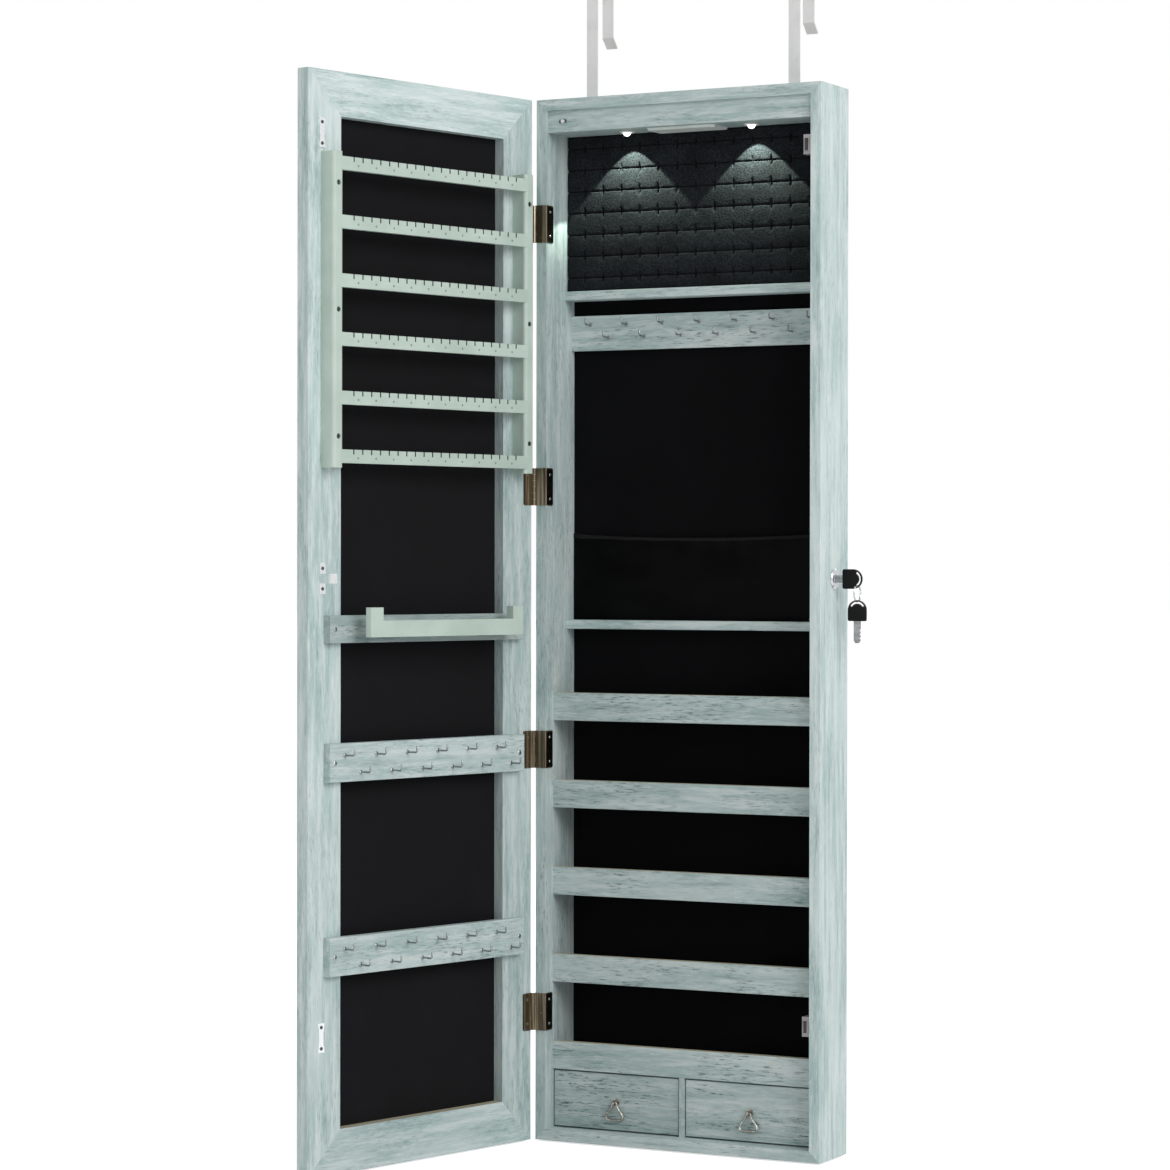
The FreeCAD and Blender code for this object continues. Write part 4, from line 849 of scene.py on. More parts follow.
class Copier:
    """A Geometry Nodes tree that sets one template on many points, turned to face their own way."""

    SEED = 11

    def __init__(self, wobble: float = math.pi) -> None:
        """Build the tree.

        Args:
            wobble: The most that a copy turns about its own axis, either way.
        """
        self.group = bpy.data.node_groups.new("copies_on_points", "GeometryNodeTree")
        face = self.group.interface
        face.new_socket("Geometry", in_out="INPUT", socket_type="NodeSocketGeometry")
        self.template = face.new_socket("Template", in_out="INPUT", socket_type="NodeSocketObject")
        self.finish = face.new_socket("Finish", in_out="INPUT", socket_type="NodeSocketMaterial")
        self.wobble = face.new_socket("Wobble", in_out="INPUT", socket_type="NodeSocketFloat")
        self.wobble.default_value = wobble
        face.new_socket("Geometry", in_out="OUTPUT", socket_type="NodeSocketGeometry")
        self.turn = wobble
        graph = Graph(self.group)
        given = graph.add("NodeGroupInput").outputs
        facing = graph.add(
            "GeometryNodeInputNamedAttribute", {"data_type": "FLOAT_VECTOR"}, {"Name": "facing"}
        )
        outward = graph.add(
            "FunctionNodeAlignRotationToVector",
            {"axis": "Z"},
            {"Vector": facing.outputs["Attribute"]},
        )
        aligned = graph.add(
            "FunctionNodeAlignRotationToVector",
            {"axis": "Y", "pivot_axis": "Z"},
            {"Rotation": outward.outputs[0], "Vector": (0.0, 0.0, 1.0)},
        )
        low = graph.add("ShaderNodeMath", {"operation": "MULTIPLY"}, {0: given["Wobble"], 1: -1.0})
        spin = graph.add(
            "FunctionNodeRandomValue",
            {"data_type": "FLOAT"},
            {2: low.outputs[0], 3: given["Wobble"], "Seed": self.SEED},
        )
        about = graph.add(
            "FunctionNodeAxisAngleToRotation",
            sockets={"Axis": (0.0, 0.0, 1.0), "Angle": spin.outputs[1]},
        )
        turned = graph.add(
            "FunctionNodeRotateRotation",
            {"rotation_space": "LOCAL"},
            {"Rotation": aligned.outputs[0], "Rotate By": about.outputs[0]},
        )
        shape = graph.add("GeometryNodeObjectInfo", sockets={"Object": given["Template"]})
        copies = graph.add(
            "GeometryNodeInstanceOnPoints",
            sockets={
                "Points": given["Geometry"],
                "Instance": shape.outputs["Geometry"],
                "Rotation": turned.outputs[0],
            },
        )
        real = graph.add("GeometryNodeRealizeInstances", sockets={0: copies.outputs[0]})
        dressed = graph.add(
            "GeometryNodeSetMaterial", sockets={0: real.outputs[0], "Material": given["Finish"]}
        )
        graph.add("NodeGroupOutput", sockets={0: dressed.outputs[0]})

    def spread(
        self,
        name: str,
        template: bpy.types.Object,
        places: Sequence[Place],
        finish: bpy.types.Material,
    ) -> bpy.types.Object:
        """One plain mesh of copies.

        Args:
            name: The piece's name.
            template: The thing that repeats, its Z axis outwards.
            places: Where the copies stand.
            finish: Their material.

        Returns:
            The piece.
        """
        points = bpy.data.meshes.new(f"{name}_points")
        points.from_pydata([tuple(place.at) for place in places], [], [])
        facing = points.attributes.new("facing", "FLOAT_VECTOR", "POINT")
        for item, place in zip(facing.data, places):
            item.vector = place.facing
        carrier = stand(f"{name}_carrier", points)
        nodes = carrier.modifiers.new("copies", "NODES")
        nodes.node_group = self.group
        nodes[self.template.identifier] = template
        nodes[self.finish.identifier] = finish
        nodes[self.wobble.identifier] = self.turn
        return freeze(carrier, name)


def freeze(carrier: bpy.types.Object, name: str) -> bpy.types.Object:
    """A plain mesh of what an object's modifiers give, in its place.

    Args:
        carrier: The object with modifiers. It is removed.
        name: The new piece's name.

    Returns:
        The piece.
    """
    depsgraph = bpy.context.evaluated_depsgraph_get()
    mesh = bpy.data.meshes.new_from_object(carrier.evaluated_get(depsgraph), depsgraph=depsgraph)
    mesh.name = name
    bpy.data.objects.remove(carrier)
    return stand(name, mesh)


# ---------------------------------------------------------------------------------------------
# Sub-assemblies


@dataclass(frozen=True)
class Board:
    """How one painted board is finished."""

    node: str
    run: Run
    # Painted light and shade: how much lighter or darker this board's wash is made for the light it
    # gets.
    light: float = 1.0
    worn: float = 0.5
    sides: tuple[Side, ...] = ()


@dataclass
class Timber:
    """Boards, fronts, shelves and door members: carried-over CAD nodes and their paint."""

    raw: Side = Side((0.0, 0.0, 1.0), paint(188, 178, 152), 0.9)

    def boards(self) -> list[Board]:
        """Every painted board with its grain, its lightness (painted light and shade) and wear."""
        across = Run.ACROSS
        door = Run.DOOR_ACROSS
        # The third number is painted light and shade: lit boards such as the top door rail are
        # painted lighter, and shaded ones such as the bracelet board under its bar and the light
        # panel darker.
        plan = [
            Board("side_left", Run.UPRIGHT, 0.86, 0.7),
            Board("side_right", Run.UPRIGHT, 1.04, 0.3),
            Board("top_board", across, 0.94, 0.6),
            Board("bottom_board", across, 0.88, 0.7),
            Board("light_fascia", across, 0.9, 0.45),
            Board("light_panel", across, 0.74, 0.4),
            Board("shelf_upper", across, 0.95, 0.5),
            Board("shelf_middle", across, 0.95, 0.5),
            Board("necklace_rail", across, 0.92, 0.75),
            Board("drawer_divider", Run.INWARD, 0.8, 0.6),
            Board("drawer_front_left", across, 0.8, 1.0),
            Board("drawer_front_right", across, 0.84, 1.0),
            Board("door_stile_hinge", Run.UPRIGHT, 0.92, 0.55),
            Board("door_stile_free", Run.UPRIGHT, 1.04, 0.4),
            Board("door_rail_top", door, 1.08, 0.35),
            Board("door_rail_bottom", door, 0.96, 0.5, (self.raw,)),
            Board("bracelet_board", door, 0.74, 0.7),
            Board("hook_boards", door, 0.96, 0.6),
        ]
        for index in range(1, 6):
            plan.append(Board(f"bay_front_{index}", across, 0.88, 0.8, (self.raw,)))
        return plan

    def dress(self, nodes: dict[str, bpy.types.Object], finishes: Finishes) -> None:
        """Give each board its own stretch of painted grain.

        Args:
            nodes: The CAD nodes.
            finishes: The cabinet's finishes.
        """
        for index, board in enumerate(self.boards()):
            shift = 1.7 * (index + 1)
            finish = WashedWood(
                f"wash_{board.node}", board.run, shift, board.light, board.worn, board.sides
            )
            dress(nodes[board.node], finish.make())
        for name in ("bay_shelves", "drawer_deck", "drawer_box_left", "drawer_box_right"):
            dress(nodes[name], finishes.black_board)
        # The back lining's darker nap is painted shade of the case's inside.
        dress(nodes["back_lining"], finishes.shaded_nap)
        dress(nodes["door_backing"], finishes.nap)
        dress(nodes["back_panel"], finishes.hardboard)
        dress(nodes["mirror"], finishes.mirror)
        dress(nodes["rack_stiles"], finishes.sage_upright)
        dress(nodes["rack_rungs"], finishes.notch_shade)
        dress(nodes["bracelet_bar"], finishes.sage)


def dress(node: bpy.types.Object, finish: bpy.types.Material) -> None:
    """Give a CAD node one material.

    Args:
        node: The node's object.
        finish: The material.
    """
    node.data.materials.clear()
    node.data.materials.append(finish)


@dataclass
class Hardware:
    """Metal and plastic that the CAD model holds in full: hinges, lock, keys, pulls and straps."""

    def dress(self, nodes: dict[str, bpy.types.Object], finishes: Finishes) -> None:
        """Give each fitting its plating or colour.

        Args:
            nodes: The CAD nodes.
            finishes: The cabinet's finishes.
        """
        plan = {
            finishes.bronze: ("door_hinge_halves", "case_hinge_halves"),
            finishes.polished: ("strike_plates", "lock_strike"),
            finishes.zinc: ("lock_cam",),
            finishes.catch: ("catches",),
            finishes.strap: ("hook_straps",),
            finishes.chrome: ("lock_body", "lock_plug", "key_ring"),
            finishes.wire: ("key_blade", "spare_key_blade"),
            finishes.bow: ("key_bow", "spare_key_bow"),
            finishes.nickel: (
                "pull_post_left",
                "pull_post_right",
                "pull_ring_left",
                "pull_ring_right",
            ),
            finishes.lamp: ("led_lamps",),
            finishes.cover: ("battery_box", "battery_cover"),
            finishes.knob: ("switch_knob",),
        }
        for finish, names in plan.items():
            for name in names:
                dress(nodes[name], finish)


@dataclass
class Screws:
    """Cross-headed screws of the hinges, plates, boards, rack and straps, and the back's brads."""

    head: float = 2.8 * MM
    small_head: float = 2.0 * MM
    rise: float = 0.9 * MM
    flush_rise: float = 0.13 * MM
    sides: int = 20
    leaf_screw: float = 14.0 * MM
    pin_inset: float = 6.0 * MM
    pins_up: int = 13
    pins_across: int = 3
    copier: Copier = field(default_factory=Copier)

    def template(
        self, name: str, radius: float, rise: float, finish: bpy.types.Material
    ) -> bpy.types.Object:
        """A domed head with a sunk cross.

        Args:
            name: The template's name.
            radius: The head's radius.
            rise: How far the head stands proud.
            finish: Its material.

        Returns:
            The template object.
        """
        build = bmesh.new()
        crown = [(1.0, -0.4), (1.0, 0.15), (0.93, 0.5), (0.78, 0.78), (0.6, 0.93)]
        lathe(build, [(radius * r, rise * h) for r, h in crown], self.sides)
        top = max(build.faces, key=lambda face: face.calc_center_median().z)
        bmesh.ops.delete(build, geom=[top], context="FACES_ONLY")
        rim = [v for v in build.verts if abs(v.co.z - rise * crown[-1][1]) < WELD]
        rim.sort(key=lambda v: math.atan2(v.co.y, v.co.x))
        arm, waist, floor = radius * 0.5, radius * 0.11, rise * 0.25
        cross = []
        for quarter in range(4):
            turn = math.pi / 2 * quarter
            for x, y in ((arm, -waist), (arm, waist), (waist, waist)):
                across = x * math.cos(turn) - y * math.sin(turn)
                along = x * math.sin(turn) + y * math.cos(turn)
                cross.append(build.verts.new((across, along, rise * 0.95)))
        low = [build.verts.new((v.co.x * 0.8, v.co.y * 0.8, floor)) for v in cross]
        count = len(cross)
        join(build, cross, low)
        build.faces.new(low)
        rim_edges = [build.edges.get((rim[i], rim[(i + 1) % len(rim)])) for i in range(len(rim))]
        cross_edges = [build.edges.get((cross[i], cross[(i + 1) % count])) for i in range(count)]
        bmesh.ops.bridge_loops(build, edges=rim_edges + cross_edges)
        made = mesh_object(name, build, finish)
        smooth(made, 35)
        return made

    def build(self, finishes: Finishes) -> None:
        """Set every screw on its body.

        Args:
            finishes: The cabinet's finishes.
        """
        large = self.template("screw_large", self.head, self.rise, finishes.screw)
        small = self.template("screw_small", self.small_head, self.rise, finishes.screw)
        flush = self.template("screw_flush", self.small_head, self.flush_rise, finishes.screw)
        sets = (
            ("screws_case_hinges", small, self.case_hinges(), "cabinet", "bronze", finishes.zinc),
            ("screws_door_hinges", flush, self.door_hinges(), "door", "bronze", finishes.nickel),
            ("pins_back", flush, self.back_pins(), "cabinet", "back_board", finishes.screw),
            ("screws_straps", large, self.straps(), "cabinet", "strap_paint", finishes.screw),
            ("screws_plates", small, self.plates(), "door", "strike_steel", finishes.screw),
            ("screws_rack", large, self.rack(), "door", "hook_steel", finishes.screw),
            ("screws_boards", large, self.boards(), "door", "hook_steel", finishes.zinc),
        )
        for name, template, places, body, slot, finish in sets:
            made = self.copier.spread(name, template, places, finish)
            settle(made, body)
        for template in (large, small, flush):
            bpy.data.objects.remove(template)

    def case_hinges(self) -> list[Place]:
        """Two screws in each folded case leaf, facing into the case."""
        places = []
        for height in HINGE_HEIGHTS:
            for side in (-self.leaf_screw, self.leaf_screw):
                at = Vector((LEAF_FACE, -67.5 * MM, height + side))
                places.append(Place(at, Vector((1, 0, 0))))
        return places

    def door_hinges(self) -> list[Place]:
        """Two screws in each door leaf, on the door's inner face."""
        places = []
        for height in HINGE_HEIGHTS:
            for side in (-self.leaf_screw, self.leaf_screw):
                at = in_door((9.8 * MM, -0.1 * MM, height + side))
                places.append(Place(at, door_way((0, 1, 0))))
        return places

    def back_pins(self) -> list[Place]:
        """Brads round the edge of the back panel."""
        low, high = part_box("back_panel")
        inset = self.pin_inset
        places = []
        for index in range(self.pins_up):
            height = low.z + inset + (high.z - low.z - 2 * inset) * index / (self.pins_up - 1)
            places += [Vector((x, high.y, height)) for x in (low.x + inset, high.x - inset)]
        for index in range(1, self.pins_across + 1):
            share = index / (self.pins_across + 1)
            across = low.x + inset + (high.x - low.x - 2 * inset) * share
            places += [Vector((across, high.y, z)) for z in (low.z + inset, high.z - inset)]
        return [Place(at, REAR) for at in places]

    def straps(self) -> list[Place]:
        """Two screws through each strap into the case's back."""
        low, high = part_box("hook_straps")
        heights = (1185 * MM, 1155 * MM)
        sides = (low.x + 7 * MM, high.x - 7 * MM)
        return [Place(Vector((x, 1.8 * MM, z)), REAR) for x in sides for z in heights]

    def plates(self) -> list[Place]:
        """Two screws in each strike plate and in the lock's plate."""
        spots = [(340.7, 0.0, high + side) for high in CATCH_HEIGHTS for side in (-11.5, 11.5)]
        spots += [(339.7, 0.2, 648.5 + side) for side in (-11.1, 11.1)]
        return on_door(spots)

    def rack(self) -> list[Place]:
        """Three sunk screws in each stile of the rack."""
        heights = (802.5, 939.5, 1076.5)
        return on_door([(x, 17.2, z) for x in (28.2, 334.2) for z in heights])

    def boards(self) -> list[Place]:
        """A screw at each end of the hook boards and of the bracelet board."""
        heights = (238.0, 448.5, 593.5)
        return on_door([(x, 9.0, z) for x in (33.5, 329.0) for z in heights])


@dataclass
class WireHooks:
    """Round wire hooks with screwed-in collars, on the door's boards and on the necklace rail."""

    wire: float = 1.0 * MM
    reach: float = 15.0 * MM
    tip: float = 7.0 * MM
    bend: float = 2.4 * MM
    collar: float = 2.4 * MM
    sunk: float = 1.0 * MM
    bend_steps: int = 6
    board_pitch: float = 48.4
    rail_pitch: float = 46.9 * MM
    sides: int = 12
    copier: Copier = field(default_factory=lambda: Copier(0.0))

    def template(self, finish: bpy.types.Material) -> bpy.types.Object:
        """One hook, its shank along Z and its tip along Y.

        Args:
            finish: Its material.

        Returns:
            The template object.
        """
        build = bmesh.new()
        path = [Vector((0, 0, -self.sunk)), Vector((0, 0, self.reach - self.bend))]
        for step in range(1, self.bend_steps):
            turn = math.pi / 2 * step / self.bend_steps
            across = self.bend * (1 - math.cos(turn))
            path.append(Vector((0, across, self.reach - self.bend + self.bend * math.sin(turn))))
        path += [Vector((0, self.bend, self.reach)), Vector((0, self.tip - 0.4 * MM, self.reach))]
        radii = [self.wire] * len(path)
        path.append(Vector((0, self.tip, self.reach)))
        radii.append(self.wire * 0.55)
        tube(build, path, radii, self.sides)
        collar = [(self.collar, 0), (self.collar, 0.6 * MM), (self.collar * 0.7, 1.1 * MM)]
        lathe(build, collar, self.sides)
        made = mesh_object("wire_hook", build, finish)
        smooth(made, 50)
        return made

    def build(self, finishes: Finishes) -> None:
        """Set the hooks, in place of the CAD model's plainer ones.

        Args:
            finishes: The cabinet's finishes.
        """
        template = self.template(finishes.wire)
        door = self.copier.spread("wire_hooks_door", template, self.door_places(), finishes.wire)
        rail = self.copier.spread("wire_hooks_rail", template, self.rail_places(), finishes.wire)
        bpy.data.objects.remove(template)
        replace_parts(settle(door, "door"), "door_hooks")
        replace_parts(settle(rail, "cabinet"), "necklace_hooks")

    def door_places(self) -> list[Place]:
        """Two staggered rows of six on each hook board."""
        pitch = self.board_pitch
        spots = []
        for low in (217.0, 427.5):
            for height, shift in ((29.0, pitch / 4), (10.0, -pitch / 4)):
                for index in range(6):
                    across = DOOR_MIDDLE / MM + shift + pitch * (index - 2.5)
                    spots.append((across, 9.0, low + height))
        return on_door(spots)

    def rail_places(self) -> list[Place]:
        """Seven hooks above six on the necklace rail."""
        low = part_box("necklace_rail")[0]
        places = []
        for count, rise in ((7, 30.0), (6, 15.0)):
            for index in range(count):
                across = self.rail_pitch * (index - (count - 1) / 2)
                places.append(Place(Vector((across, low.y, low.z + rise * MM)), FRONT))
        return places


def tube(
    build: bmesh.types.BMesh,
    path: Sequence[Vector],
    radii: Sequence[float],
    sides: int,
    side: Point = (1, 0, 0),
    ring: bool = False,
) -> None:
    """A round tube along a flat path, joined into a ring or closed at both ends.

    Args:
        build: The mesh to add to.
        path: The points of its middle line.
        radii: The radius at each point.
        sides: How many sides it has.
        side: The direction square to the path's plane.
        ring: Whether the last point joins the first.
    """
    rows = []
    side = Vector(side)
    last = len(path) - 1
    for index, (point, radius) in enumerate(zip(path, radii)):
        before = path[index - 1] if ring else path[max(index - 1, 0)]
        after = path[(index + 1) % len(path)] if ring else path[min(index + 1, last)]
        along = (after - before).normalized()
        up = along.cross(side).normalized()
        row = []
        for step in range(sides):
            turn = math.tau * step / sides
            spoke = side * math.cos(turn) + up * math.sin(turn)
            row.append(build.verts.new(point + spoke * radius))
        rows.append(row)
    for lower, upper in zip(rows, rows[1:] + rows[:1] if ring else rows[1:]):
        join(build, lower, upper)
    if not ring:
        build.faces.new(rows[0])
        build.faces.new(rows[-1])


@dataclass
class PullRings:
    """Cast pear-shaped drops of the drawers, each hung through its post's eye."""

    half: tuple[tuple[float, float], ...] = (
        (0.0, 0.0),
        (1.2, 0.0),
        (2.3, -0.4),
        (2.9, -1.5),
        (3.1, -3.3),
        (3.9, -5.7),
        (5.9, -8.6),
        (8.5, -11.8),
        (10.3, -15.0),
        (10.7, -17.4),
        (9.7, -19.1),
        (7.4, -19.8),
        (3.6, -20.0),
        (0.0, -20.0),
    )
    wire: float = 1.1 * MM
    foot: float = 1.35 * MM
    steps: int = 4
    sides: int = 14

    def path(self) -> list[Vector]:
        """The drop's middle line round from the eye, smoothed, in millimetres from the eye."""
        right = [Vector((x, 0, z)) for x, z in self.half]
        left = [Vector((-x, 0, z)) for x, z in self.half[-2:0:-1]]
        points = right + left
        count = len(points)
        smoothed = []
        for index, point in enumerate(points):
            before, after = points[index - 1], points[(index + 1) % count]
            beyond = points[(index + 2) % count]
            for step in range(self.steps):
                t = step / self.steps
                bend = 2 * before - 5 * point + 4 * after - beyond
                twist = 3 * point - before - 3 * after + beyond
                smoothed.append((2 * point + (after - before) * t + bend * t**2 + twist * t**3) / 2)
        return smoothed

    def build(self, finishes: Finishes) -> None:
        """Make both drops in place of the CAD model's plainer ones.

        Args:
            finishes: The cabinet's finishes.
        """
        for name in ("left", "right"):
            low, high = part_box(f"pull_ring_{name}")
            eye = Vector(((low.x + high.x) / 2, (low.y + high.y) / 2, high.z - self.wire))
            path = self.path()
            depth = min(point.z for point in path)
            radii = [self.wire + (self.foot - self.wire) * min(p.z / depth, 1) for p in path]
            build = bmesh.new()
            spots = [eye + point * MM for point in path]
            tube(build, spots, radii, self.sides, (0, 1, 0), True)
            made = mesh_object(f"pull_drop_{name}", build, finishes.nickel)
            smooth(made, 70)
            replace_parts(settle(made, f"pull_{name}"), f"pull_ring_{name}")


@dataclass
class RackHoles:
    """Dark dishes of painted shade where the holes for ear studs are, two notches apart along each
    rung of the rack; no hole is bored.
    """

    radius: float = 1.15 * MM
    half: float = 129.9
    notches: int = 20
    lowest: float = 779.1
    rung_pitch: float = 63.4
    face: float = 19.0
    sides: int = 14
    copier: Copier = field(default_factory=Copier)

    def build(self, finishes: Finishes) -> None:
        """Set a small dished dark mouth of painted shade, standing in for the hole's inside, at
        each hole.

        Args:
            finishes: The cabinet's finishes.
        """
        build = bmesh.new()
        dish = [(1.0, -0.1), (1.0, 0.05), (0.86, 0.06), (0.8, 0.02), (0.35, -0.02)]
        lathe(build, [(self.radius * r, self.radius * h) for r, h in dish], self.sides)
        template = mesh_object("stud_hole", build, finishes.hole)
        made = self.copier.spread("stud_holes", template, self.places(), finishes.hole)
        bpy.data.objects.remove(template)
        settle(made, "door")

    def places(self) -> list[Place]:
        """Ten holes in each of six rungs."""
        pitch = 2 * self.half / (self.notches - 1)
        spots = []
        for rung in range(6):
            for index in range(self.notches // 2):
                across = DOOR_MIDDLE / MM - self.half + pitch * (0.5 + 2 * index)
                spots.append((across, self.face, self.lowest + self.rung_pitch * rung))
        return on_door(spots)


@dataclass
class RingCushion:
    """Foam block on the upper shelf: rolls between slits, crossed by short upright cuts."""

    slits: int = 7
    first: float = 15.5 * MM
    pitch: float = 25.0 * MM
    depth: float = 6.0 * MM
    mouth: float = 0.7 * MM
    crown: float = 0.7 * MM
    cuts: int = 13
    cut_pitch: float = 23.8 * MM
    cut_half: float = 6.5 * MM
    cut_depth: float = 4.5 * MM
    cut_mouth: float = 0.75 * MM
    lip: float = 0.5 * MM
    lip_wide: float = 3.0 * MM
    corner: float = 3.0 * MM
    seed: int = 5

    def drop(self, across: float, rise: float, ragged: float) -> float:
        """How far the face lies back at one place.

        Args:
            across: The place across, from the middle.
            rise: The height above the cushion's foot.
            ragged: How cleanly the slit is cut here, about 1.

        Returns:
            The depth in metres.
        """
        index = min(max(round((rise - self.first) / self.pitch), 0), self.slits - 1)
        near = abs(rise - self.first - index * self.pitch)
        slit = self.depth * ragged * math.exp(-((near / (self.mouth * ragged)) ** 1.6))
        roll = self.crown * (1 - min(near / (self.pitch * 0.42), 1)) ** 2
        last = (self.cuts - 1) // 2
        column = min(max(round(across / self.cut_pitch), -last), last)
        side = abs(across - column * self.cut_pitch)
        fade = max(1 - (near / self.cut_half) ** 2, 0)
        cut = self.cut_depth * math.exp(-((side / self.cut_mouth) ** 1.6)) * fade
        lip = self.lip * math.exp(-((side / self.lip_wide) ** 2)) * fade
        return max(slit, cut) + roll + lip

    def build(self, finishes: Finishes) -> None:
        """Make the cushion in the CAD block's place.

        Args:
            finishes: The cabinet's finishes.
        """
        low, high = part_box("ring_cushion")
        rng = random.Random(self.seed)
        half, tall = (high.x - low.x) / 2, high.z - low.z
        middle = (high.x + low.x) / 2
        heights, columns = self.levels(tall), self.columns(half)
        build = bmesh.new()
        rows = []
        for rise in heights:
            row = []
            for across in columns:
                edge = min(rise, tall - rise, across + half, half - across)
                inset = max(self.corner - edge, 0)
                round_off = self.corner - math.sqrt(max(self.corner**2 - inset**2, 0))
                ragged = 0.82 + 0.18 * math.sin(across * 410 + round(rise / self.pitch) * 2.1)
                back = self.drop(across, rise, ragged) + round_off
                back += rng.uniform(0.1, 0.3) * MM
                row.append(build.verts.new((middle + across, low.y + back, low.z + rise)))
            rows.append(row)
        for lower, upper in zip(rows, rows[1:]):
            join(build, lower, upper, closed=False)
        rim = rows[0] + [row[-1] for row in rows[1:]] + rows[-1][-2::-1]
        rim += [row[0] for row in rows[-2:0:-1]]
        back = [build.verts.new((v.co.x, high.y, v.co.z)) for v in rim]
        join(build, rim, back)
        build.faces.new(back)
        made = mesh_object("foam_cushion", build, finishes.foam)
        smooth(made, 60)
        settle(made, "cabinet")
        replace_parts(made, "ring_cushion")

    def levels(self, tall: float) -> list[float]:
        """Heights of the rows of points, close together at the slits.

        Args:
            tall: The cushion's height.

        Returns:
            The heights above its foot.
        """
        steps = (0.0, 0.3, 0.6, 1.0, 1.5, 2.4, 3.8, 5.2, 6.4, 8.5, 12.5)
        middles = [self.first + self.pitch * index for index in range(self.slits)]
        return spaced(middles, steps, tall)

    def columns(self, half: float) -> list[float]:
        """Places across of the columns of points, close together at the cuts.

        Args:
            half: Half the cushion's width.

        Returns:
            The places, from the middle.
        """
        steps = (0.0, 0.35, 0.75, 1.3, 2.2, 4.2, 7.4, 11.9)
        last = (self.cuts - 1) // 2
        middles = [half + self.cut_pitch * index for index in range(-last, last + 1)]
        return [place - half for place in spaced(middles, steps, 2 * half)]


def spaced(middles: Sequence[float], steps: Sequence[float], long: float) -> list[float]:
    """Places along a length, crowded round some middles and round both ends.

    Args:
        middles: Where places crowd.
        steps: The distances from each middle, in millimetres.
        long: The length.

    Returns:
        The places in order.
    """
    ends = (0.0, 0.4, 1.0, 1.9, 3.0)
    places = {round(end * MM, 7) for end in ends} | {round(long - end * MM, 7) for end in ends}
    for middle in middles:
        for step in steps:
            for side in (-1, 1):
                place = middle + side * step * MM
                if 3.2 * MM < place < long - 3.2 * MM:
                    places.add(round(place, 7))
    return sorted(places)


@dataclass
class Pouch:
    """Satin pocket for the ends of necklaces: one sheet, gathered on elastic at its top."""

    sag: float = 6.0 * MM
    belly: float = 11.0 * MM
    ripple: float = 0.8 * MM
    cloth: float = 0.7 * MM
    ease: float = 1.03
    edge_tall: float = 2.6 * MM
    edge_thick: float = 0.9 * MM
    columns: int = 150
    rows: int = 44

    def point(self, low: Vector, high: Vector, across: float, rise: float) -> Vector:
        """A point of the sheet.

        Args:
            low: The CAD pocket's low corner.
            high: Its high corner.
            across: 0 at the left seam to 1 at the right.
            rise: 0 at the foot to 1 at the top.

        Returns:
            The point in the cabinet's frame.
        """
        bow = 4 * across * (1 - across)
        top = high.z - 1 * MM - self.sag * bow**0.8
        height = low.z + (top - low.z) * rise
        swell = 0.34 + 0.66 * math.sin(math.pi * min(rise * 0.85 + 0.1, 1))
        swell *= 1 - (1 - bow) ** 4
        folds = math.sin(across * 61 + 1.7 * math.sin(across * 9)) * rise**3
        pulls = math.sin(across * 17 - rise * 5.5) * 0.9 * (1 - abs(2 * rise - 1))
        out = 0.8 * MM + self.belly * swell + self.ripple * (folds * 0.6 + pulls) * bow**0.5
        reach = high.y - max(out, 0.6 * MM)
        return Vector((low.x + (high.x - low.x) * across, reach, height))

    def build(self, finishes: Finishes) -> None:
        """Make the pocket and its elastic edge in the CAD pocket's place.

        Args:
            finishes: The cabinet's finishes.
        """
        low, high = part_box("necklace_pouch")
        build = bmesh.new()
        grid = []
        for row in range(self.rows + 1):
            line = []
            for column in range(self.columns + 1):
                spot = self.point(low, high, column / self.columns, row / self.rows)
                line.append(build.verts.new(spot))
            grid.append(line)
        for lower, upper in zip(grid, grid[1:]):
            join(build, lower, upper, closed=False)
        area = sum(face.calc_area() for face in build.faces)
        made = mesh_object("pouch_cloth", build, finishes.satin)
        if sum(face.normal.y for face in made.data.polygons) > 0:
            made.data.flip_normals()
        smooth(made, 80)
        wall = made.modifiers.new("cloth", "SOLIDIFY")
        wall.thickness = self.cloth
        wall.offset = 0.0
        settle(made, "cabinet")
        edge = self.binding(low, high, finishes)
        wide = (high.x - low.x) * self.ease
        area / wide
        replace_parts(made, "necklace_pouch")

    def binding(self, low: Vector, high: Vector, finishes: Finishes) -> bpy.types.Object:
        """The narrow elastic binding along the pocket's mouth.

        Args:
            low: The CAD pocket's low corner.
            high: Its high corner.
            finishes: The cabinet's finishes.

        Returns:
            The binding.
        """
        build = bmesh.new()
        rows = []
        tall, thick = self.edge_tall, self.edge_thick
        section = [(-1, -1), (1, -1), (1.25, 0), (1, 1), (-1, 1), (-1.25, 0)]
        for column in range(self.columns + 1):
            spot = self.point(low, high, column / self.columns, 1.0)
            ring = []
            for out, rise in section:
                ring.append(build.verts.new(spot + Vector((0, out * thick, rise * tall - tall))))
            rows.append(ring)
        for before, after in zip(rows, rows[1:]):
            join(build, before, after)
        build.faces.new(rows[0])
        build.faces.new(rows[-1])
        made = mesh_object("pouch_binding", build, finishes.elastic)
        smooth(made, 70)
        return settle(made, "cabinet")


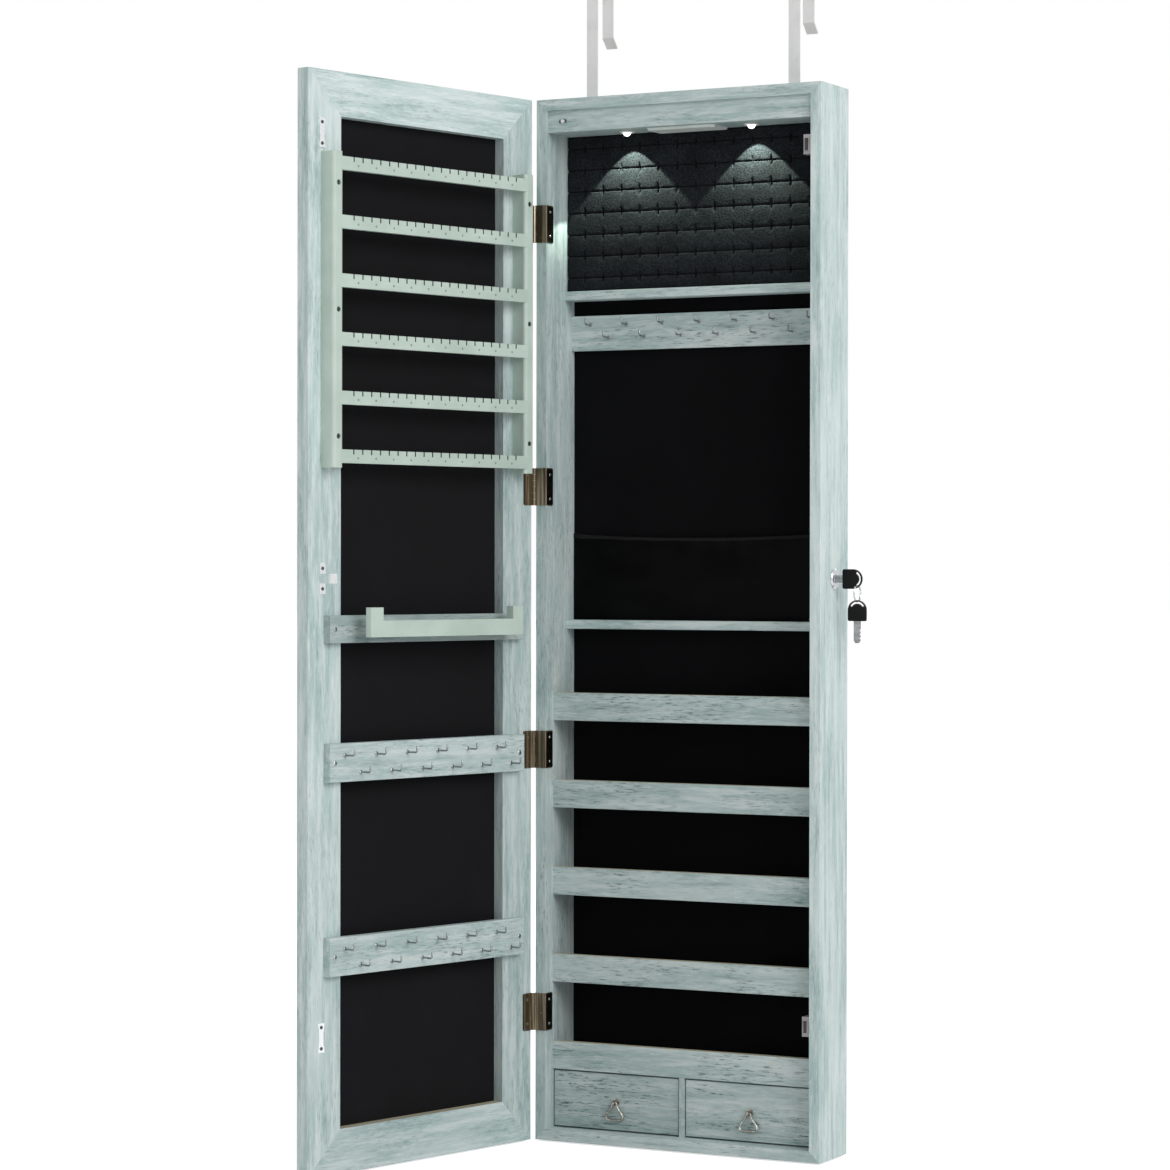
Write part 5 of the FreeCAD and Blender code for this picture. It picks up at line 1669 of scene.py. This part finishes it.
@dataclass
class LightBar:
    """Glowing lenses, the rims round them and the two cones of light."""

    lamp_side: float = 78.6 * MM
    lamp_front: float = 43.0 * MM
    spread: float = math.radians(88)
    lean: float = math.radians(7)
    power: float = 34.0
    soft: float = 1.2 * MM
    sides: int = 40
    near: float = 0.035
    far: float = 0.2

    def build(self, finishes: Finishes) -> None:
        """Add the lenses and rims, and light the two cones on the cushion.

        Args:
            finishes: The cabinet's finishes.
        """
        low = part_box("led_lamps")[0]
        lenses, rims = bmesh.new(), bmesh.new()
        dome = [(0.2, 0.0), (1.6, 0.25), (2.9, 0.9), (3.9, 2.0), (4.45, 3.4), (4.6, 4.7)]
        rim = [(5.4, 4.7), (5.5, 4.1), (6.6, 3.8), (8.2, 3.9), (8.6, 4.3), (8.6, 4.7)]
        for build, profile in ((lenses, dome), (rims, rim)):
            for side in (-1, 1):
                start = len(build.verts)
                lathe(build, [(r * MM, h * MM) for r, h in profile], self.sides)
                build.verts.ensure_lookup_table()
                for vertex in build.verts[start:]:
                    vertex.co += Vector((self.lamp_side * side, -self.lamp_front, low.z))
        lens = mesh_object("lamp_lenses", lenses, finishes.lens)
        ring = mesh_object("lamp_rims", rims, finishes.lamp)
        for piece in (lens, ring):
            smooth(piece, 45)
            settle(piece, "cabinet")
        for side in (-1, 1):
            self.cone(Vector((self.lamp_side * side, -self.lamp_front, low.z - 1.5 * MM)))

    def cone(self, place: Vector) -> None:
        """A small spot lamp that shines down and a little back.

        Args:
            place: Where the lamp hangs.
        """
        light = bpy.data.lights.new("lamp_cone", "SPOT")
        light.energy = self.power
        light.spot_size = self.spread
        light.spot_blend = 0.1
        light.shadow_soft_size = self.soft
        graph = Graph.of(light)
        near = graph.term("ShaderNodeLightPath", "Ray Length").band(self.near, self.far)
        fall = graph.term("ShaderNodeLightFalloff", "Linear", sockets={"Strength": 1.0})
        emission = graph.add(
            "ShaderNodeEmission",
            sockets={"Color": (0.88, 1.0, 0.84, 1.0), "Strength": fall * (1 - near)},
        )
        graph.add("ShaderNodeOutputLight", sockets={"Surface": emission.outputs[0]})
        lamp = stand("lamp_cone", light)
        lamp.location = place
        lamp.rotation_euler.x = self.lean


@dataclass
class KeyBows:
    """Moulded black bows of the two keys: a straight shoulder, a round end and a curved slot."""

    long: float = 23.45 * MM
    radius: float = 11.0 * MM
    slot: float = 8.3 * MM
    slot_half: float = 1.25 * MM
    slot_reach: float = math.radians(62)
    corner: float = 2.0 * MM
    thick: float = 3.6 * MM
    edge: float = 0.5 * MM

    def outline(self) -> list[tuple[float, float]]:
        """The bow's edge: along from the shoulder, and across from the middle."""
        centre = self.long - self.radius
        points = []
        for step in range(25):
            turn = -math.pi / 2 + math.pi * step / 24
            points.append((centre + self.radius * math.cos(turn), self.radius * math.sin(turn)))
        for sign in (1, -1):
            arc = []
            for step in range(5):
                turn = math.pi / 2 * step / 4
                along = self.corner * (1 - math.sin(turn))
                arc.append((along, sign * (self.radius - self.corner * (1 - math.cos(turn)))))
            points += arc if sign == 1 else arc[::-1]
        return points

    def slot_outline(self) -> list[tuple[float, float]]:
        """The slot's edge, in the same two directions."""
        centre = self.long - self.radius
        points = []
        for side in (1, -1):
            radius = self.slot + side * self.slot_half
            for step in range(21):
                turn = side * (-self.slot_reach + 2 * self.slot_reach * step / 20)
                points.append((centre + radius * math.cos(turn), radius * math.sin(turn)))
        return points

    def bow(
        self, name: str, place: Callable[[float, float, float], Vector], finishes: Finishes
    ) -> bpy.types.Object:
        """One bow.

        Args:
            name: The piece's name.
            place: Turns along, across and depth into a point of the cabinet's frame.
            finishes: The cabinet's finishes.

        Returns:
            The piece.
        """
        build = bmesh.new()
        edges = []
        for loop in (self.outline(), self.slot_outline()):
            verts = [build.verts.new((along, across, 0)) for along, across in loop]
            edges += [build.edges.new(pair) for pair in zip(verts, verts[1:] + verts[:1])]
        bmesh.ops.triangle_fill(build, edges=edges, use_beauty=True)
        grown = bmesh.ops.extrude_face_region(build, geom=build.faces[:])
        lifted = [item for item in grown["geom"] if isinstance(item, bmesh.types.BMVert)]
        bmesh.ops.translate(build, verts=lifted, vec=(0, 0, 1))
        rims = [edge for edge in build.edges if edge.calc_face_angle(0) > 1.2]
        rims = [edge for edge in rims if abs(edge.verts[0].co.z - edge.verts[1].co.z) < 0.5]
        for vertex in build.verts:
            vertex.co.z *= self.thick
        bmesh.ops.bevel(build, geom=rims, offset=self.edge, segments=2, affect="EDGES")
        for vertex in build.verts:
            vertex.co = place(*vertex.co)
        made = mesh_object(name, build, finishes.bow)
        smooth(made, 40)
        return made

    def build(self, finishes: Finishes) -> None:
        """Make both bows in place of the CAD model's plainer ones.

        Args:
            finishes: The cabinet's finishes.
        """
        low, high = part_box("key_bow")
        level = (low.z + high.z) / 2
        key = self.bow(
            "bow_in_lock", lambda u, v, w: Vector((low.x + u, low.y + w, level + v)), finishes
        )
        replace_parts(settle(key, "key"), "key_bow")
        foot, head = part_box("spare_key_bow")
        middle = (foot.x + head.x) / 2
        spare = self.bow(
            "bow_spare", lambda u, v, w: Vector((middle + v, foot.y + w, foot.z + u)), finishes
        )
        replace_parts(settle(spare, "spare_key"), "spare_key_bow")


@dataclass
class Catches:
    """Dark magnets in the grey cases of the two catches."""

    tall: float = 14.0 * MM
    wide: float = 4.6 * MM
    proud: float = 0.12 * MM

    def build(self, finishes: Finishes) -> None:
        """Add the magnets' faces.

        Args:
            finishes: The cabinet's finishes.
        """
        low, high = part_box("catches")
        build = bmesh.new()
        middle = (low.x + high.x) / 2
        for height in (high * MM for high in CATCH_HEIGHTS):
            corner = Vector((middle - self.wide / 2, low.y - self.proud, height - self.tall / 2))
            far = Vector((middle + self.wide / 2, low.y + 2 * MM, height + self.tall / 2))
            block(build, corner, far, 0.3 * MM)
        settle(mesh_object("catch_magnets", build, finishes.magnet), "cabinet")


@dataclass
class HingeDarkPlates:
    """Thin near-black plates on the folded leaves, with the bright bronze showing round them."""

    inset: float = 1.6 * MM
    sunk: float = 0.05 * MM
    thick: float = 0.25 * MM

    def build(self, finishes: Finishes) -> None:
        """Add one thin plate inside each case leaf.

        Args:
            finishes: The cabinet's finishes.
        """
        build = bmesh.new()
        for height in HINGE_HEIGHTS:
            foot, top = height - HINGE_HALF + self.inset, height + HINGE_HALF - self.inset
            low = Vector((LEAF_FACE - self.sunk, -74.4 * MM, foot))
            high = Vector((LEAF_FACE + self.thick, -61.4 * MM, top))
            block(build, low, high, 0.1 * MM)
        settle(mesh_object("hinge_black_plates", build, finishes.black_leaf), "cabinet")


# ---------------------------------------------------------------------------------------------
# Studio


@dataclass
class Studio:
    """White surroundings, soft lamps and the camera."""

    eye: tuple[float, float, float] = (1.73043, -3.62993, 0.66127)
    yaw: float = math.radians(27.4413)
    pitch: float = math.radians(-0.2918)
    roll: float = math.radians(0.0845)
    lens: float = 107.48
    sensor: float = 36.0
    floor_drop: float = 2.0 * MM
    floor_lift: float = 0.68
    mirror_lift: float = 0.5
    ambient: float = 0.38
    floor_half: float = 40.0
    target: tuple[float, float, float] = (0.0, 0.0, 0.6)

    def build(self) -> None:
        """Make the floor, the lamps, the world and the camera."""
        self.floor()
        self.lamps()
        self.world()
        self.camera()

    def floor(self) -> None:
        """A pale floor that reads as white to the camera and keeps the shadow."""
        made = bpy.data.materials.new("studio_white")
        graph = Graph.of(made)
        cloud = graph.noise(graph.term("ShaderNodeTexCoord", "Object"), 3, 2)
        tone = graph.mix(cloud, paint(244, 244, 244), paint(248, 248, 248))
        rays = graph.add("ShaderNodeLightPath").outputs
        lift = Term(graph, rays["Is Camera Ray"]) * self.floor_lift
        lift = lift + Term(graph, rays["Is Transmission Ray"]) * self.floor_lift
        lift = lift + Term(graph, rays["Is Glossy Ray"]) * self.mirror_lift
        glow = graph.mix(lift, paint(0, 0, 0), paint(255, 255, 255))
        sockets = {
            "Base Color": tone,
            "Roughness": 0.9,
            "Specular IOR Level": 0.1,
            "Emission Color": glow,
            "Emission Strength": 1.0,
        }
        lit = graph.add("ShaderNodeBsdfPrincipled", sockets=sockets)
        graph.add("ShaderNodeOutputMaterial", sockets={"Surface": lit.outputs[0]})
        build = bmesh.new()
        bmesh.ops.create_grid(build, x_segments=2, y_segments=2, size=self.floor_half)
        floor = mesh_object("studio_floor", build, made)
        floor.location.z = -self.floor_drop

    def lamps(self) -> None:
        """A broad key lamp from the front right, a weaker fill from the left and one behind."""
        target = Vector(self.target)
        plan = (
            ("key_lamp", Vector((3.3, -1.6, 2.5)), 2.4, 92.0, True),
            ("fill_lamp", Vector((-2.0, -3.4, 1.6)), 2.6, 24.0, False),
            ("rear_lamp", Vector((-0.6, 3.2, 2.0)), 2.4, 30.0, True),
        )
        for name, place, size, power, mirrored in plan:
            light = bpy.data.lights.new(name, "AREA")
            light.size = size
            light.energy = power
            lamp = stand(name, light)
            lamp.location = place
            lamp.rotation_euler = (target - place).to_track_quat("-Z", "Y").to_euler()
            lamp.visible_glossy = mirrored

    def seen(self, graph: Graph) -> Term:
        """1 where the camera looks, straight or by way of metal or glass, otherwise 0."""
        rays = graph.add("ShaderNodeLightPath").outputs
        total = Term(graph, rays["Is Camera Ray"]) + Term(graph, rays["Is Glossy Ray"])
        return (total + Term(graph, rays["Is Transmission Ray"])).band(0.0, 1.0)

    def world(self) -> None:
        """Even light, and plain white wherever the camera or a mirror sees past the object."""
        world = bpy.data.worlds.new("studio")
        bpy.context.scene.world = world
        graph = Graph.of(world)
        strength = self.seen(graph) * (1 - self.ambient) + self.ambient
        shader = graph.add(
            "ShaderNodeBackground", sockets={"Color": (1.0, 1.0, 1.0, 1.0), "Strength": strength}
        )
        graph.add("ShaderNodeOutputWorld", sockets={"Surface": shader.outputs[0]})

    def camera(self) -> None:
        """The photograph's viewpoint."""
        forward = Vector(
            (
                -math.sin(self.yaw) * math.cos(self.pitch),
                math.cos(self.yaw) * math.cos(self.pitch),
                math.sin(self.pitch),
            )
        )
        right = Vector((math.cos(self.yaw), math.sin(self.yaw), 0))
        up = right.cross(forward)
        across = right * math.cos(self.roll) + up * math.sin(self.roll)
        rise = up * math.cos(self.roll) - right * math.sin(self.roll)
        turn = Matrix((across, rise, -forward)).transposed().to_4x4()
        data = bpy.data.cameras.new("photo_view")
        data.lens = self.lens
        data.sensor_width = self.sensor
        data.clip_end = 60
        camera = stand("photo_view", data)
        camera.matrix_world = Matrix.Translation(self.eye) @ turn
        bpy.context.scene.camera = camera


def main() -> None:
    """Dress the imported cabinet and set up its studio."""
    logging.basicConfig(level=logging.INFO, format="%(name)s: %(message)s")
    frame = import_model()
    bpy.context.scene.view_settings.view_transform = "Standard"
    finishes = Finishes()
    nodes = frame["nodes"]
    Timber().dress(nodes, finishes)
    Hardware().dress(nodes, finishes)
    builders: tuple[Callable[[Finishes], None], ...] = (
        RingCushion().build,
        Pouch().build,
        LightBar().build,
        Catches().build,
        HingeDarkPlates().build,
        Screws().build,
        WireHooks().build,
        RackHoles().build,
        KeyBows().build,
        PullRings().build,
    )
    for builder in builders:
        builder(finishes)
    Studio().build()


if __name__ == "__main__":
    main()
